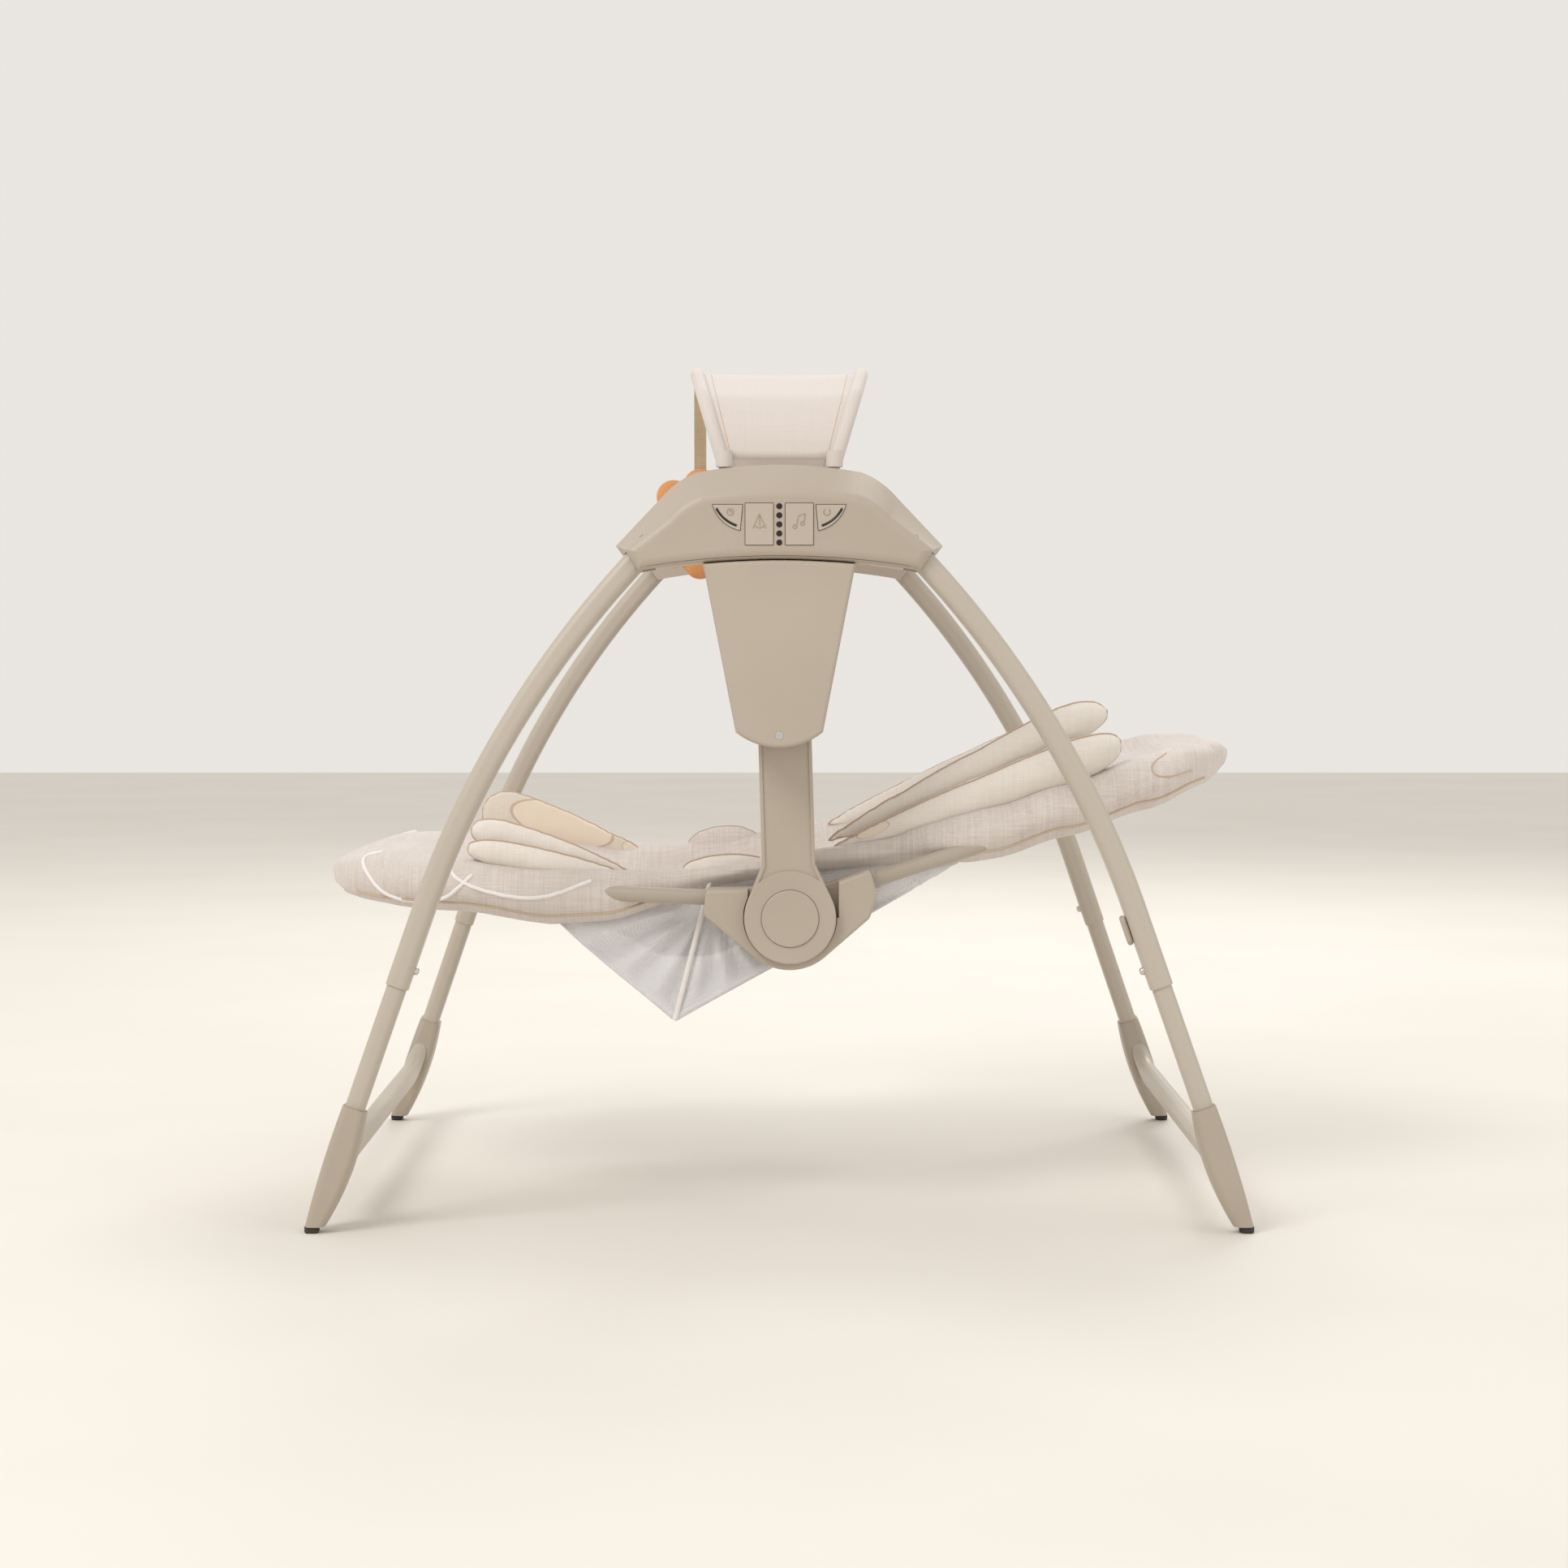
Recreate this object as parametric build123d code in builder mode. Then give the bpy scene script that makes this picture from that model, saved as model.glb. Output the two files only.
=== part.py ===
from build123d import *
import math
import os

# Portable electric baby swing, millimetres.
# +X points to the head end, -Y to the control panel side, +Z up.
# The origin is on the floor, midway between the four feet.

os.makedirs("parts", exist_ok=True)

# ---------------------------------------------------------------- driving dimensions
clearance = 0.3             # running gap between pieces that move past each other
cloth_gap = 0.5             # gap between a soft piece and its neighbour
wall = 2.4                  # plastic shells

# stance and legs
toe_half_length = 359.7     # middle of the swing to a toe, along X
toe_half_width = 280.3      # middle of the swing to a toe, along Y
leg_lean = 0.07             # inward lean, per mm of height
joint_x, joint_z = 294.5, 188.5   # where the lower tube enters the upper one
knee_x, knee_z = 244.5, 320.0     # where the upper tube starts its tighter curve
upper_width, upper_depth = 17.6, 22.4
lower_width, lower_depth = 15.2, 20.0
tube_wall = 1.1
insert_length = 36.0        # lower tube inside the upper one
cross_height = 50.0         # centre of the tube that joins the two lower tubes
bend_radius = 52.0
boot_height = 101.0
pad_thickness = 5.0         # rubber under a boot

# hubs
swing_pivot_z = 532.0
hub_half_length = 127.0
hub_top = 591.0
hub_bottom = 517.0          # lowest edge of the hub at its middle
hub_inner_y, hub_seam_y, hub_front_y = 216.0, 230.0, 264.0
pin_inset = 27.0            # leg pin from the hub's tip
pin_drop = 4.0              # leg pin below the swing pivot
pin_radius = 4.0
shaft_radius = 8.0
battery_top_half, battery_bottom_half = 58.7, 33.7
battery_bottom_z = 384.5
battery_front_y = 262.0
battery_seam_y = 238.0
cell_radius, cell_length = 12.8, 49.0

# swing arms and recline hubs
recline_pivot_x, recline_pivot_z = 8.5, 236.0
arm_inner_y, arm_outer_y = 192.0, 214.0
arm_width = 42.0
arm_head_radius = 24.0
ring_radius = 36.3
cap_radius = 22.6
cap_travel = 3.0
axle_radius = 12.0

# seat
tube_y = 178.0              # seat tubes, middle of the swing to a tube's centre
seat_tube_radius = 6.3
foot_tip, head_tip = -374.0, 375.8
foot_rise, head_rise = 0.04, 0.315      # slope of each seat half
pad_height = 22.0
seat_half_width = 186.0
waist_half_width = 168.0    # where the seat passes between the brackets
well_half_width = 132.0     # the seat's hollow
trough_thickness = 12.0
sling_low_x, sling_low_z = -84.0, 147.0

# toy arch
crest_half_length, crest_z = 69.0, 671.0
arch_foot_half_length = 43.0
arch_y = 223.0
rod_radius = 2.2
plug_radius = 4.0
plug_depth = 24.0

# controls
button_depth = 7.0
button_travel = 0.8
button_proud = 0.8
light_radius, light_pitch = 2.2, 6.94

near, far = 1, -1           # sides: near is -Y
foot, head = -1, 1          # ends: foot is -X
side_names = {near: "near", far: "far"}
end_names = {foot: "foot", head: "head"}

lean_length = math.hypot(1, leg_lean)
rake = (toe_half_length - joint_x) / joint_z
rake_length = math.hypot(1, rake)
pin_x, pin_z = hub_half_length - pin_inset, swing_pivot_z - pin_drop
insert_z = joint_z + insert_length / rake_length
straight_rise = 60.0        # straight foot of the upper tube


def save(part, name):
    part.label = name
    export_step(part, f"parts/{name}.step")


def across(side, distance):
    """A plane facing -Y whose sketch axes are X and Z, at a distance from the middle."""
    return Plane.XZ.offset(side * distance)


# ---------------------------------------------------------------- legs
def leg_plane(side):
    """The leaning plane that one side's leg tubes bend in: X, and up the leg."""
    return Plane(
        origin=(0, -side * toe_half_width, 0),
        x_dir=(1, 0, 0),
        z_dir=(0, -1, side * leg_lean),
    )


def u_plane(end):
    """The raked plane of a U-shaped lower tube: Y, and up the leg."""
    return Plane(
        origin=(end * toe_half_length, 0, 0),
        x_dir=(0, 1, 0),
        z_dir=(1, 0, end * rake),
    )


def leg_axis(side, end):
    return Vector(-end * rake, side * leg_lean, 1).normalized()


def leg_point(side, end, height):
    return Vector(
        end * (toe_half_length - rake * height),
        -side * (toe_half_width - leg_lean * height),
        height,
    )


def button_plane(side, end):
    """On the inner face of the upper tube, pointing into the open."""
    outwards = Vector(-end, 0, -rake).normalized()
    return Plane(
        origin=leg_point(side, end, joint_z + snap_rise) + outwards * upper_width / 2,
        x_dir=(0, 1, 0),
        z_dir=outwards,
    )


snap_radius, snap_rise = 3.0, 15.0
snap_travel = 3.2
snap_proud = snap_travel + 0.2
tube_corner = 6.5
lower_bore_width = lower_width - 2 * tube_wall


def upper_tube(side, end):
    plane = leg_plane(side)
    joint = (end * joint_x, joint_z * lean_length)
    insert_top = (end * (joint_x - rake * straight_rise), (joint_z + straight_rise) * lean_length)
    knee = (end * knee_x, knee_z * lean_length)
    pin = (end * pin_x, pin_z * lean_length)
    with BuildPart() as tube:
        with BuildLine(plane) as path:
            straight = Line(joint, insert_top)
            shin = TangentArc(insert_top, knee, tangent=straight % 1)
            thigh = TangentArc(knee, pin, tangent=shin % 1)
            Line(thigh @ 1, thigh @ 1 + (thigh % 1) * upper_width / 2)
        with BuildSketch(Plane(straight @ 0, x_dir=plane.z_dir, z_dir=straight % 0)):
            RectangleRounded(upper_depth, upper_width, tube_corner)
            offset(amount=-tube_wall, mode=Mode.SUBTRACT)
        sweep()
        with Locations(Plane(thigh @ 1, x_dir=(1, 0, 0), z_dir=(0, 1, 0))):
            Cylinder(pin_radius + clearance, 2 * upper_depth, mode=Mode.SUBTRACT)
        # the tube's end is round about its pin
        with BuildSketch(Plane(thigh @ 1, x_dir=thigh % 1, z_dir=(0, 1, 0))):
            Rectangle(upper_width, 2 * upper_width, align=(Align.MIN, Align.CENTER))
            Circle(upper_width / 2, mode=Mode.SUBTRACT)
        extrude(amount=2 * upper_depth, both=True, mode=Mode.SUBTRACT)
        with Locations(button_plane(side, end)):
            Cylinder(snap_radius + clearance, 8, mode=Mode.SUBTRACT)
    return tube.part


def u_path(end, plane):
    """Down one lower tube, across near the floor, and up the other."""
    points = [
        (-side * (toe_half_width - leg_lean * height), height * rake_length)
        for side, height in (
            (near, insert_z),
            (near, cross_height),
            (far, cross_height),
            (far, insert_z),
        )
    ]
    with BuildLine(plane) as path:
        FilletPolyline(*points, radius=bend_radius)
    return path.line


def u_section(path, plane, growth=0.0):
    with BuildSketch(Plane(path @ 0, x_dir=plane.z_dir, z_dir=path % 0)) as section:
        RectangleRounded(lower_width + growth, lower_depth + growth, tube_corner - 0.5)
    return section.sketch


def lower_tube(end):
    plane = u_plane(end)
    path = u_path(end, plane)
    with BuildPart() as tube:
        sweep(u_section(path, plane), path)
        sweep(u_section(path, plane, -2 * tube_wall), path, mode=Mode.SUBTRACT)
        for side in (near, far):
            with Locations(button_plane(side, end)):
                Cylinder(snap_radius + clearance, 12, mode=Mode.SUBTRACT)
    return tube.part


def boot(side, end):
    """A plastic foot over the corner of the U tube, with an open inner side."""
    axis = leg_axis(side, end)
    plane = u_plane(end)
    path = u_path(end, plane)
    toe = leg_point(side, end, 0)
    # distance up the leg, width, depth, shift towards the middle along X and along Y
    sections = (
        (0.0, 12.5, 15.0, 0.0, 0.0),
        (52.0, 22.0, 36.0, 2.0, 6.0),
        (boot_height, 18.4, 25.0, 0.0, 0.4),
    )
    with BuildPart() as shell:
        for rise, width, depth, shift_x, shift_y in sections:
            spot = toe + axis * rise + Vector(-end * shift_x, side * shift_y, 0)
            with BuildSketch(Plane(spot, x_dir=(0, 1, 0), z_dir=axis)):
                RectangleRounded(depth, width, 5.5)
        loft()
        sweep(u_section(path, plane, clearance), path, mode=Mode.SUBTRACT)
        split(bisect_by=Plane.XY.offset(pad_thickness), keep=Keep.TOP)
    return shell.part.solids().sort_by(SortBy.VOLUME)[-1]


def rubber_tips(end):
    with BuildPart() as tips:
        for side in (near, far):
            spot = leg_point(side, end, 0)
            with BuildSketch(Plane.XY):
                with Locations((spot.X, spot.Y)):
                    RectangleRounded(11.0, 13.0, 4.0)
        extrude(amount=pad_thickness)
        fillet(tips.edges().group_by(Axis.Z)[0], radius=1.5)
    return tips.part


def snap_button(side, end):
    """A sprung dome through both tube walls, held by a flange inside the lower tube."""
    inner_wall = (upper_width - lower_bore_width) / 2
    with BuildPart() as button:
        with Locations(button_plane(side, end).offset(snap_proud)):
            Cylinder(
                snap_radius,
                snap_proud + inner_wall + clearance,
                align=(Align.CENTER, Align.CENTER, Align.MAX),
            )
        fillet(button.faces().sort_by(Axis(button_plane(side, end).origin,
               button_plane(side, end).z_dir))[-1].edges(), radius=2.2)
        with Locations(button_plane(side, end).offset(-inner_wall - clearance)):
            Cylinder(snap_radius + 1.6, 1.6, align=(Align.CENTER, Align.CENTER, Align.MAX))
    return button.part


for end in (foot, head):
    leg = f"{end_names[end]}_leg"
    for side in (near, far):
        save(upper_tube(side, end), f"{leg}_upper_tube_{side_names[side]}")
        save(boot(side, end), f"{leg}_boot_{side_names[side]}")
        save(snap_button(side, end), f"{leg}_snap_button_{side_names[side]}")
    save(lower_tube(end), f"{leg}_lower_tube")
    save(rubber_tips(end), f"{leg}_rubber_tips")

# a small oval bumper on the inner face of the near head-end tube
clip_rise, clip_length, clip_proud = 44.0, 24.0, 4.5
clip_height = joint_z + clip_rise
clip_x = joint_x - rake * clip_rise - (upper_width / 2 + clearance) * rake_length
with BuildPart() as storage_clip:
    clip_plane = Plane(
        origin=(clip_x, -(toe_half_width - leg_lean * clip_height), clip_height),
        x_dir=(0, 1, 0),
        z_dir=(-1, 0, -rake),
    )
    with BuildSketch(clip_plane):
        SlotOverall(clip_length, 9.0, rotation=90)
    extrude(amount=clip_proud)
    fillet(storage_clip.faces().sort_by(Axis.X)[0].edges(), radius=2.0)
save(storage_clip.part, "storage_clip")


# ---------------------------------------------------------------- hubs
crown_half, crown_drop = 64.0, 6.0        # the flat part of the hub's top arc
shoulder_x, shoulder_z = 91.0, hub_top - 25.0
tip_z, corner_in, corner_z = 528.0, 16.0, hub_bottom - 10.0
crease_drop = 21.5                        # the front face starts this far below the top
crease_radius = 9.0
arc_radius = ((hub_half_length - corner_in) ** 2 + (hub_bottom - corner_z) ** 2) / (
    2 * (hub_bottom - corner_z)
)


def mirrored_outline(top, crown, shoulder_mid, shoulder, tip, corner, bottom):
    """A hub outline drawn from its right half."""

    def left(point):
        return (-point[0], point[1])

    with BuildLine() as outline:
        ThreePointArc(left(crown), (0, top), crown)
        ThreePointArc(crown, shoulder_mid, shoulder)
        Line(shoulder, tip)
        Line(tip, corner)
        ThreePointArc(corner, (0, bottom), left(corner))
        Line(left(corner), left(tip))
        Line(left(tip), left(shoulder))
        ThreePointArc(left(shoulder), left(shoulder_mid), left(crown))
    return outline.line


def full_outline():
    return mirrored_outline(
        hub_top,
        (crown_half, hub_top - crown_drop),
        (crown_half + 15.0, hub_top - 14.0),
        (shoulder_x, shoulder_z),
        (hub_half_length, tip_z),
        (hub_half_length - corner_in, corner_z),
        hub_bottom,
    )


def front_outline():
    return mirrored_outline(
        hub_top - crease_drop,
        (crown_half - 4.0, hub_top - crown_drop - crease_drop + 1.0),
        (crown_half + 9.5, hub_top - 14.0 - crease_drop + 2.0),
        (shoulder_x - 6.0, shoulder_z - crease_drop + 2.5),
        (hub_half_length - 10.0, tip_z - 4.0),
        (hub_half_length - corner_in - 3.0, corner_z + 1.5),
        hub_bottom + 0.5,
    )


leg_fold_angle = 25.0                     # a leg folds inwards by this much
leg_top_angle = 43.0                      # a leg's angle from vertical at its pin
leg_slot_gap = 0.9
leg_slot_length = 60.0
leg_room_depth = 26.0                     # the legs' room in an outer shell, along Y
socket_width = 13.0                       # post around an arch socket
shaft_boss_radius = 13.0
pin_boss_radius = 8.0
fit_gap = 0.15                            # gap of a pressed-in pin


def hub_block(side, inset):
    """The lofted body of an outer shell, or its hollow when inset is a wall."""
    with BuildPart() as block:
        for outline, distance in (
            (full_outline(), hub_seam_y - inset / 2),
            (front_outline(), hub_front_y - inset),
        ):
            with BuildSketch(across(side, distance)):
                add(outline)
                make_face()
                if inset:
                    offset(amount=-inset, kind=Kind.INTERSECTION)
        loft(ruled=True)
        if not inset:
            face = block.faces().sort_by(Axis.Y)[0 if side == near else -1]
            fillet(face.edges(), radius=crease_radius)
    return block.part


def leg_fan(side):
    """The room that the legs need in a hub, from their rest to their folded place."""
    half = upper_width / 2 + leg_slot_gap
    with BuildPart() as fan:
        with BuildSketch(across(side, hub_seam_y + 1.0)):
            for end in (foot, head):
                pin = Vector(end * pin_x, pin_z)
                corners = []
                for angle, outward in ((leg_top_angle, 1), (leg_top_angle - leg_fold_angle, -1)):
                    down = Vector(end * math.sin(math.radians(angle)), -math.cos(math.radians(angle)))
                    normal = Vector(-down.Y * end, down.X * end) * outward
                    corners += [pin + normal * half, pin + down * leg_slot_length + normal * half]
                outer_top, outer_low, inner_top, inner_low = corners
                Polygon(
                    *[(p.X, p.Y) for p in (outer_top, outer_low, inner_low, inner_top)],
                    align=None,
                )
                with Locations((pin.X, pin.Y)):
                    Circle(half)
        extrude(amount=side * leg_room_depth)
    return fan.part


def wall_holes(side, radius, spots, start, depth):
    """Round holes through the hub along Y."""
    with BuildPart() as holes:
        with BuildSketch(across(side, start)):
            with Locations(*spots):
                Circle(radius)
        extrude(amount=side * depth)
    return holes.part


pin_spots = [(end * pin_x, pin_z) for end in (foot, head)]
socket_spots = [(end * arch_foot_half_length, hub_top - 17.0) for end in (foot, head)]

# ---------------------------------------------------------------- control buttons
button_inner_edge, button_outer_edge = 4.7, 26.0
button_middle = (button_inner_edge + button_outer_edge) / 2
button_top, button_low = 560.0, 528.3
fin_inner_edge, fin_outer_edge = 27.5, 51.6
fin_low = 539.4
window_width, window_depth = 2.0, 0.6
light_top = 557.8
light_spots = [(0, light_top - i * light_pitch) for i in range(5)]


def large_button_face(end, growth):
    """A D-shaped key: its outer lower corner is a large round."""
    with BuildSketch(across(near, hub_front_y + button_proud)) as face:
        with Locations((end * button_middle, (button_top + button_low) / 2)):
            Rectangle(button_outer_edge - button_inner_edge, button_top - button_low)
        corner = face.sketch.vertices().sort_by(Axis.Z)[:2].sort_by(Axis.X)[0 if end == foot else -1]
        fillet(corner, radius=13.0)
        sharp = face.sketch.vertices().filter_by(
            lambda v: abs(v.X) < button_inner_edge + 1 or v.Z > button_top - 1
        )
        fillet(sharp, radius=1.8)
        if growth:
            offset(amount=growth)
    return face.sketch


def fin_button_face(end, growth):
    """A small fin-shaped key with a curved outer edge."""
    top_outer = (end * (fin_outer_edge - 0.6), button_top - 1.0)
    top_inner = (end * (fin_inner_edge + 0.8), button_top - 1.0)
    low_inner = (end * (fin_inner_edge + 2.6), fin_low)
    with BuildSketch(across(near, hub_front_y + button_proud)) as face:
        with BuildLine():
            Line(top_inner, top_outer)
            ThreePointArc(top_outer, (end * (fin_inner_edge + 15.5), fin_low + 6.6), low_inner)
            Line(low_inner, top_inner)
        make_face()
        fillet(face.sketch.vertices(), radius=1.4)
        if growth:
            offset(amount=growth)
    return face.sketch


def fin_window(end):
    """The dark curved window near a small key's outer edge."""
    with BuildSketch(across(near, hub_front_y + button_proud)) as face:
        with BuildLine(mode=Mode.PRIVATE):
            curve = ThreePointArc(
                (end * (fin_outer_edge - 3.6), button_top - 4.2),
                (end * (fin_inner_edge + 13.6), fin_low + 8.2),
                (end * (fin_inner_edge + 5.4), fin_low + 3.6),
            )
        SlotArc(curve, height=window_width)
    return face.sketch


buttons = {
    "swing_speed_button": (large_button_face, foot),
    "melody_button": (large_button_face, head),
    "timer_button": (fin_button_face, foot),
    "volume_button": (fin_button_face, head),
}
for name, (face, end) in buttons.items():
    with BuildPart() as button:
        extrude(face(end, 0), amount=-button_depth)
        if face is fin_button_face:
            extrude(fin_window(end), amount=-window_depth, mode=Mode.SUBTRACT)
    save(button.part, name)

# ---------------------------------------------------------------- control electronics
board_half_length, board_height = 59.0, 42.0
board_y = hub_front_y + button_proud - button_depth - button_travel - 0.1
board_thickness = 1.6
board_middle_z = 542.0
post_radius = 2.4
post_spots = [
    (x * (board_half_length - 3.5), board_middle_z + z * (board_height / 2 - 3.5))
    for x in (-1, 1)
    for z in (-1, 1)
]


def outer_shell(side):
    with BuildPart() as shell:
        add(hub_block(side, 0))
        add(hub_block(side, wall), mode=Mode.SUBTRACT)
        add(leg_fan(side), mode=Mode.SUBTRACT)
        if side == near:
            for face, end in buttons.values():
                extrude(face(end, 0.45), amount=-3 * wall, mode=Mode.SUBTRACT)
            add(wall_holes(near, light_radius + fit_gap, light_spots, hub_front_y - 3 * wall, 4 * wall),
                mode=Mode.SUBTRACT)
            with BuildSketch(across(near, board_y)):
                with Locations(*post_spots):
                    Circle(post_radius)
            extrude(amount=hub_front_y - board_y - 1.0)
    return shell.part


def inner_cover(side):
    depth = hub_seam_y - hub_inner_y
    with BuildPart() as cover:
        with BuildSketch(across(side, hub_inner_y)):
            add(full_outline())
            make_face()
        extrude(amount=side * depth)
        with BuildSketch(across(side, hub_inner_y + wall)):
            add(full_outline())
            make_face()
            offset(amount=-wall, kind=Kind.INTERSECTION)
            with Locations(*socket_spots):
                Rectangle(socket_width, 60.0, mode=Mode.SUBTRACT)
            with Locations((0, swing_pivot_z)):
                Circle(shaft_boss_radius, mode=Mode.SUBTRACT)
            with Locations(*pin_spots):
                Circle(pin_boss_radius, mode=Mode.SUBTRACT)
        extrude(amount=side * depth, mode=Mode.SUBTRACT)
        add(wall_holes(side, shaft_radius + clearance, [(0, swing_pivot_z)], hub_inner_y - 1, 2 * depth),
            mode=Mode.SUBTRACT)
        add(wall_holes(side, pin_radius + fit_gap, pin_spots, hub_inner_y + wall, depth),
            mode=Mode.SUBTRACT)
        with Locations(*[
            (end * arch_foot_half_length, -side * arch_y, socket_floor) for end in (foot, head)
        ]):
            Cylinder(
                plug_radius + clearance,
                hub_top,
                align=(Align.CENTER, Align.CENTER, Align.MIN),
                mode=Mode.SUBTRACT,
            )
    return cover.part


plug_seat_z = hub_top - crown_drop * (arch_foot_half_length / crown_half) ** 2 + 1.0
socket_floor = plug_seat_z - plug_depth - 1.0

for side in (near, far):
    save(outer_shell(side), f"{side_names[side]}_hub_outer_shell")
    save(inner_cover(side), f"{side_names[side]}_hub_inner_cover")

with BuildPart() as leg_pivot_pins:
    for side in (near, far):
        with BuildSketch(across(side, hub_inner_y + wall + 0.5)):
            with Locations(*pin_spots):
                Circle(pin_radius)
        extrude(amount=side * (hub_front_y - hub_inner_y - 2 * wall - crease_radius + 3.0))
save(leg_pivot_pins.part, "leg_pivot_pins")

with BuildPart() as level_lights:
    with BuildSketch(across(near, board_y + 0.4)):
        with Locations(*light_spots):
            Circle(light_radius)
    extrude(amount=hub_front_y + 0.5 - board_y - 0.4)
    fillet(level_lights.faces().group_by(Axis.Y)[0].edges(), radius=0.5)
save(level_lights.part, "level_lights")

with BuildPart() as circuit_board:
    with BuildSketch(across(near, board_y)):
        with Locations((0, board_middle_z)):
            RectangleRounded(2 * board_half_length, board_height, 3.0)
    extrude(amount=-board_thickness)
save(circuit_board.part, "circuit_board")

speaker_x, speaker_z, speaker_radius, speaker_depth = 72.0, 538.0, 11.0, 10.0
with BuildPart() as speaker:
    with BuildSketch(across(near, hub_front_y - wall - 0.4)):
        with Locations((speaker_x, speaker_z)):
            Circle(speaker_radius)
    extrude(amount=-speaker_depth / 2)
    with BuildSketch(across(near, hub_front_y - wall - 0.4 - speaker_depth / 2)):
        with Locations((speaker_x, speaker_z)):
            Circle(speaker_radius * 0.6)
    extrude(amount=-speaker_depth / 2)
save(speaker.part, "speaker")

# the coil drives a magnet on the near shaft
coil_rise, coil_radius, magnet_gap = 24.0, 9.0, 1.0
magnet_y, magnet_thickness = 241.0, 5.0
with BuildPart() as drive_coil:
    with BuildSketch(across(near, hub_inner_y + wall)):
        with Locations((0, swing_pivot_z + coil_rise)):
            Circle(coil_radius)
            Circle(coil_radius * 0.45, mode=Mode.SUBTRACT)
    extrude(amount=magnet_y - magnet_gap - hub_inner_y - wall)
save(drive_coil.part, "drive_coil")

with BuildPart() as drive_magnet:
    with BuildSketch(across(near, magnet_y)):
        with Locations((0, swing_pivot_z)):
            Circle(shaft_radius + 4.0)
        with Locations((0, swing_pivot_z + coil_rise / 2)):
            Rectangle(8.0, coil_rise)
        with Locations((0, swing_pivot_z + coil_rise)):
            RectangleRounded(18.0, 12.0, 2.0)
        with Locations((0, swing_pivot_z)):
            Circle(shaft_radius + fit_gap, mode=Mode.SUBTRACT)
    extrude(amount=magnet_thickness)
save(drive_magnet.part, "drive_magnet")

# ---------------------------------------------------------------- battery housing
seam_gap = 0.4


def battery_outline(inset):
    """A tapered outline that hangs from the hub's arched lower edge, with a round foot."""
    top_half = battery_top_half - inset
    low_half = battery_bottom_half - inset
    top_z = hub_bottom - seam_gap - inset
    side_z = top_z - top_half**2 / (2 * arc_radius)
    low_z = battery_bottom_z
    with BuildLine() as outline:
        ThreePointArc((-top_half, side_z), (0, top_z), (top_half, side_z))
        Line((top_half, side_z), (low_half, low_z))
        ThreePointArc((low_half, low_z), (0, low_z - 12.0 + inset), (-low_half, low_z))
        Line((-low_half, low_z), (-top_half, side_z))
    return outline.line


def battery_case(side, seam, front, edge_radius):
    """A tapered shell, open at its seam."""
    depth = front - seam
    with BuildPart() as case:
        with BuildSketch(across(side, seam)):
            add(battery_outline(0))
            make_face()
        extrude(amount=side * depth)
        lid = case.faces().sort_by(Axis.Y)[0 if side * depth > 0 else -1]
        fillet(lid.edges(), radius=edge_radius)
        with BuildSketch(across(side, seam)):
            add(battery_outline(wall))
            make_face()
        extrude(amount=side * (depth - math.copysign(wall, depth)), mode=Mode.SUBTRACT)
    return case.part


screw_z, screw_radius = 382.0, 3.3
screw_shank = 1.6
with BuildPart() as battery_door:
    add(battery_case(near, battery_seam_y, battery_front_y, 3.0))
    with BuildSketch(across(near, battery_seam_y)):
        with Locations((0, screw_z)):
            Circle(screw_radius + 2.2)
    extrude(amount=battery_front_y - battery_seam_y - 1)
    with BuildSketch(across(near, battery_seam_y)):
        with Locations((0, screw_z)):
            Circle(screw_shank + fit_gap)
    extrude(amount=battery_front_y - battery_seam_y, mode=Mode.SUBTRACT)
    with BuildSketch(across(near, battery_front_y)):
        with Locations((0, screw_z)):
            Circle(screw_radius + fit_gap)
    extrude(amount=-1.6, mode=Mode.SUBTRACT)
save(battery_door.part, "battery_door")

with BuildPart() as battery_tray:
    add(battery_case(near, battery_seam_y, hub_inner_y + 1, 2.0))
save(battery_tray.part, "battery_tray")

with BuildPart() as battery_screw:
    with BuildSketch(across(near, battery_front_y - 1.6)):
        with Locations((0, screw_z)):
            Circle(screw_radius)
    extrude(amount=1.4)
    with BuildSketch(across(near, battery_seam_y + 2)):
        with Locations((0, screw_z)):
            Circle(screw_shank)
    extrude(amount=battery_front_y - 1.6 - battery_seam_y - 2)
    with BuildSketch(across(near, battery_front_y - 0.2)):
        with Locations((0, screw_z)):
            Rectangle(4.0, 0.9)
            Rectangle(0.9, 4.0)
    extrude(amount=-0.7, mode=Mode.SUBTRACT)
save(battery_screw.part, "battery_screw")

cell_gap = 1.0
cell_top_z = hub_bottom - 10.0
cell_y = hub_inner_y + 1 + wall + cell_gap / 2 + cell_radius
with BuildPart() as batteries:
    for row in range(2):
        for column in (-1, 1):
            low = cell_top_z - (row + 1) * cell_length - row * cell_gap
            with Locations((column * (cell_radius + cell_gap / 2), -cell_y, low)):
                Cylinder(cell_radius, cell_length - 2, align=(Align.CENTER, Align.CENTER, Align.MIN))
                Cylinder(cell_radius / 3, cell_length, align=(Align.CENTER, Align.CENTER, Align.MIN))
save(batteries.part, "batteries")

with BuildPart() as far_arm_fairing:
    add(battery_case(far, hub_inner_y + 1, battery_front_y - 6, 3.0))
save(far_arm_fairing.part, "far_arm_fairing")

# ---------------------------------------------------------------- swing arms
arm_drop = swing_pivot_z - recline_pivot_z
arm_length = math.hypot(recline_pivot_x, arm_drop)
arm_edge_radius = 1.6
rim_width, rim_height = 2.6, 1.2
flare_top = 42.0
arm_pocket_width = arm_width - 2 * wall - 1.0
cap_bore_depth = 9.0
cap_proud = 1.4
cap_stem_radius, cap_stem_length = 5.0, 12.0
shaft_end = {near: magnet_y + magnet_thickness + 1.0, far: hub_seam_y + 4.0}


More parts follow.
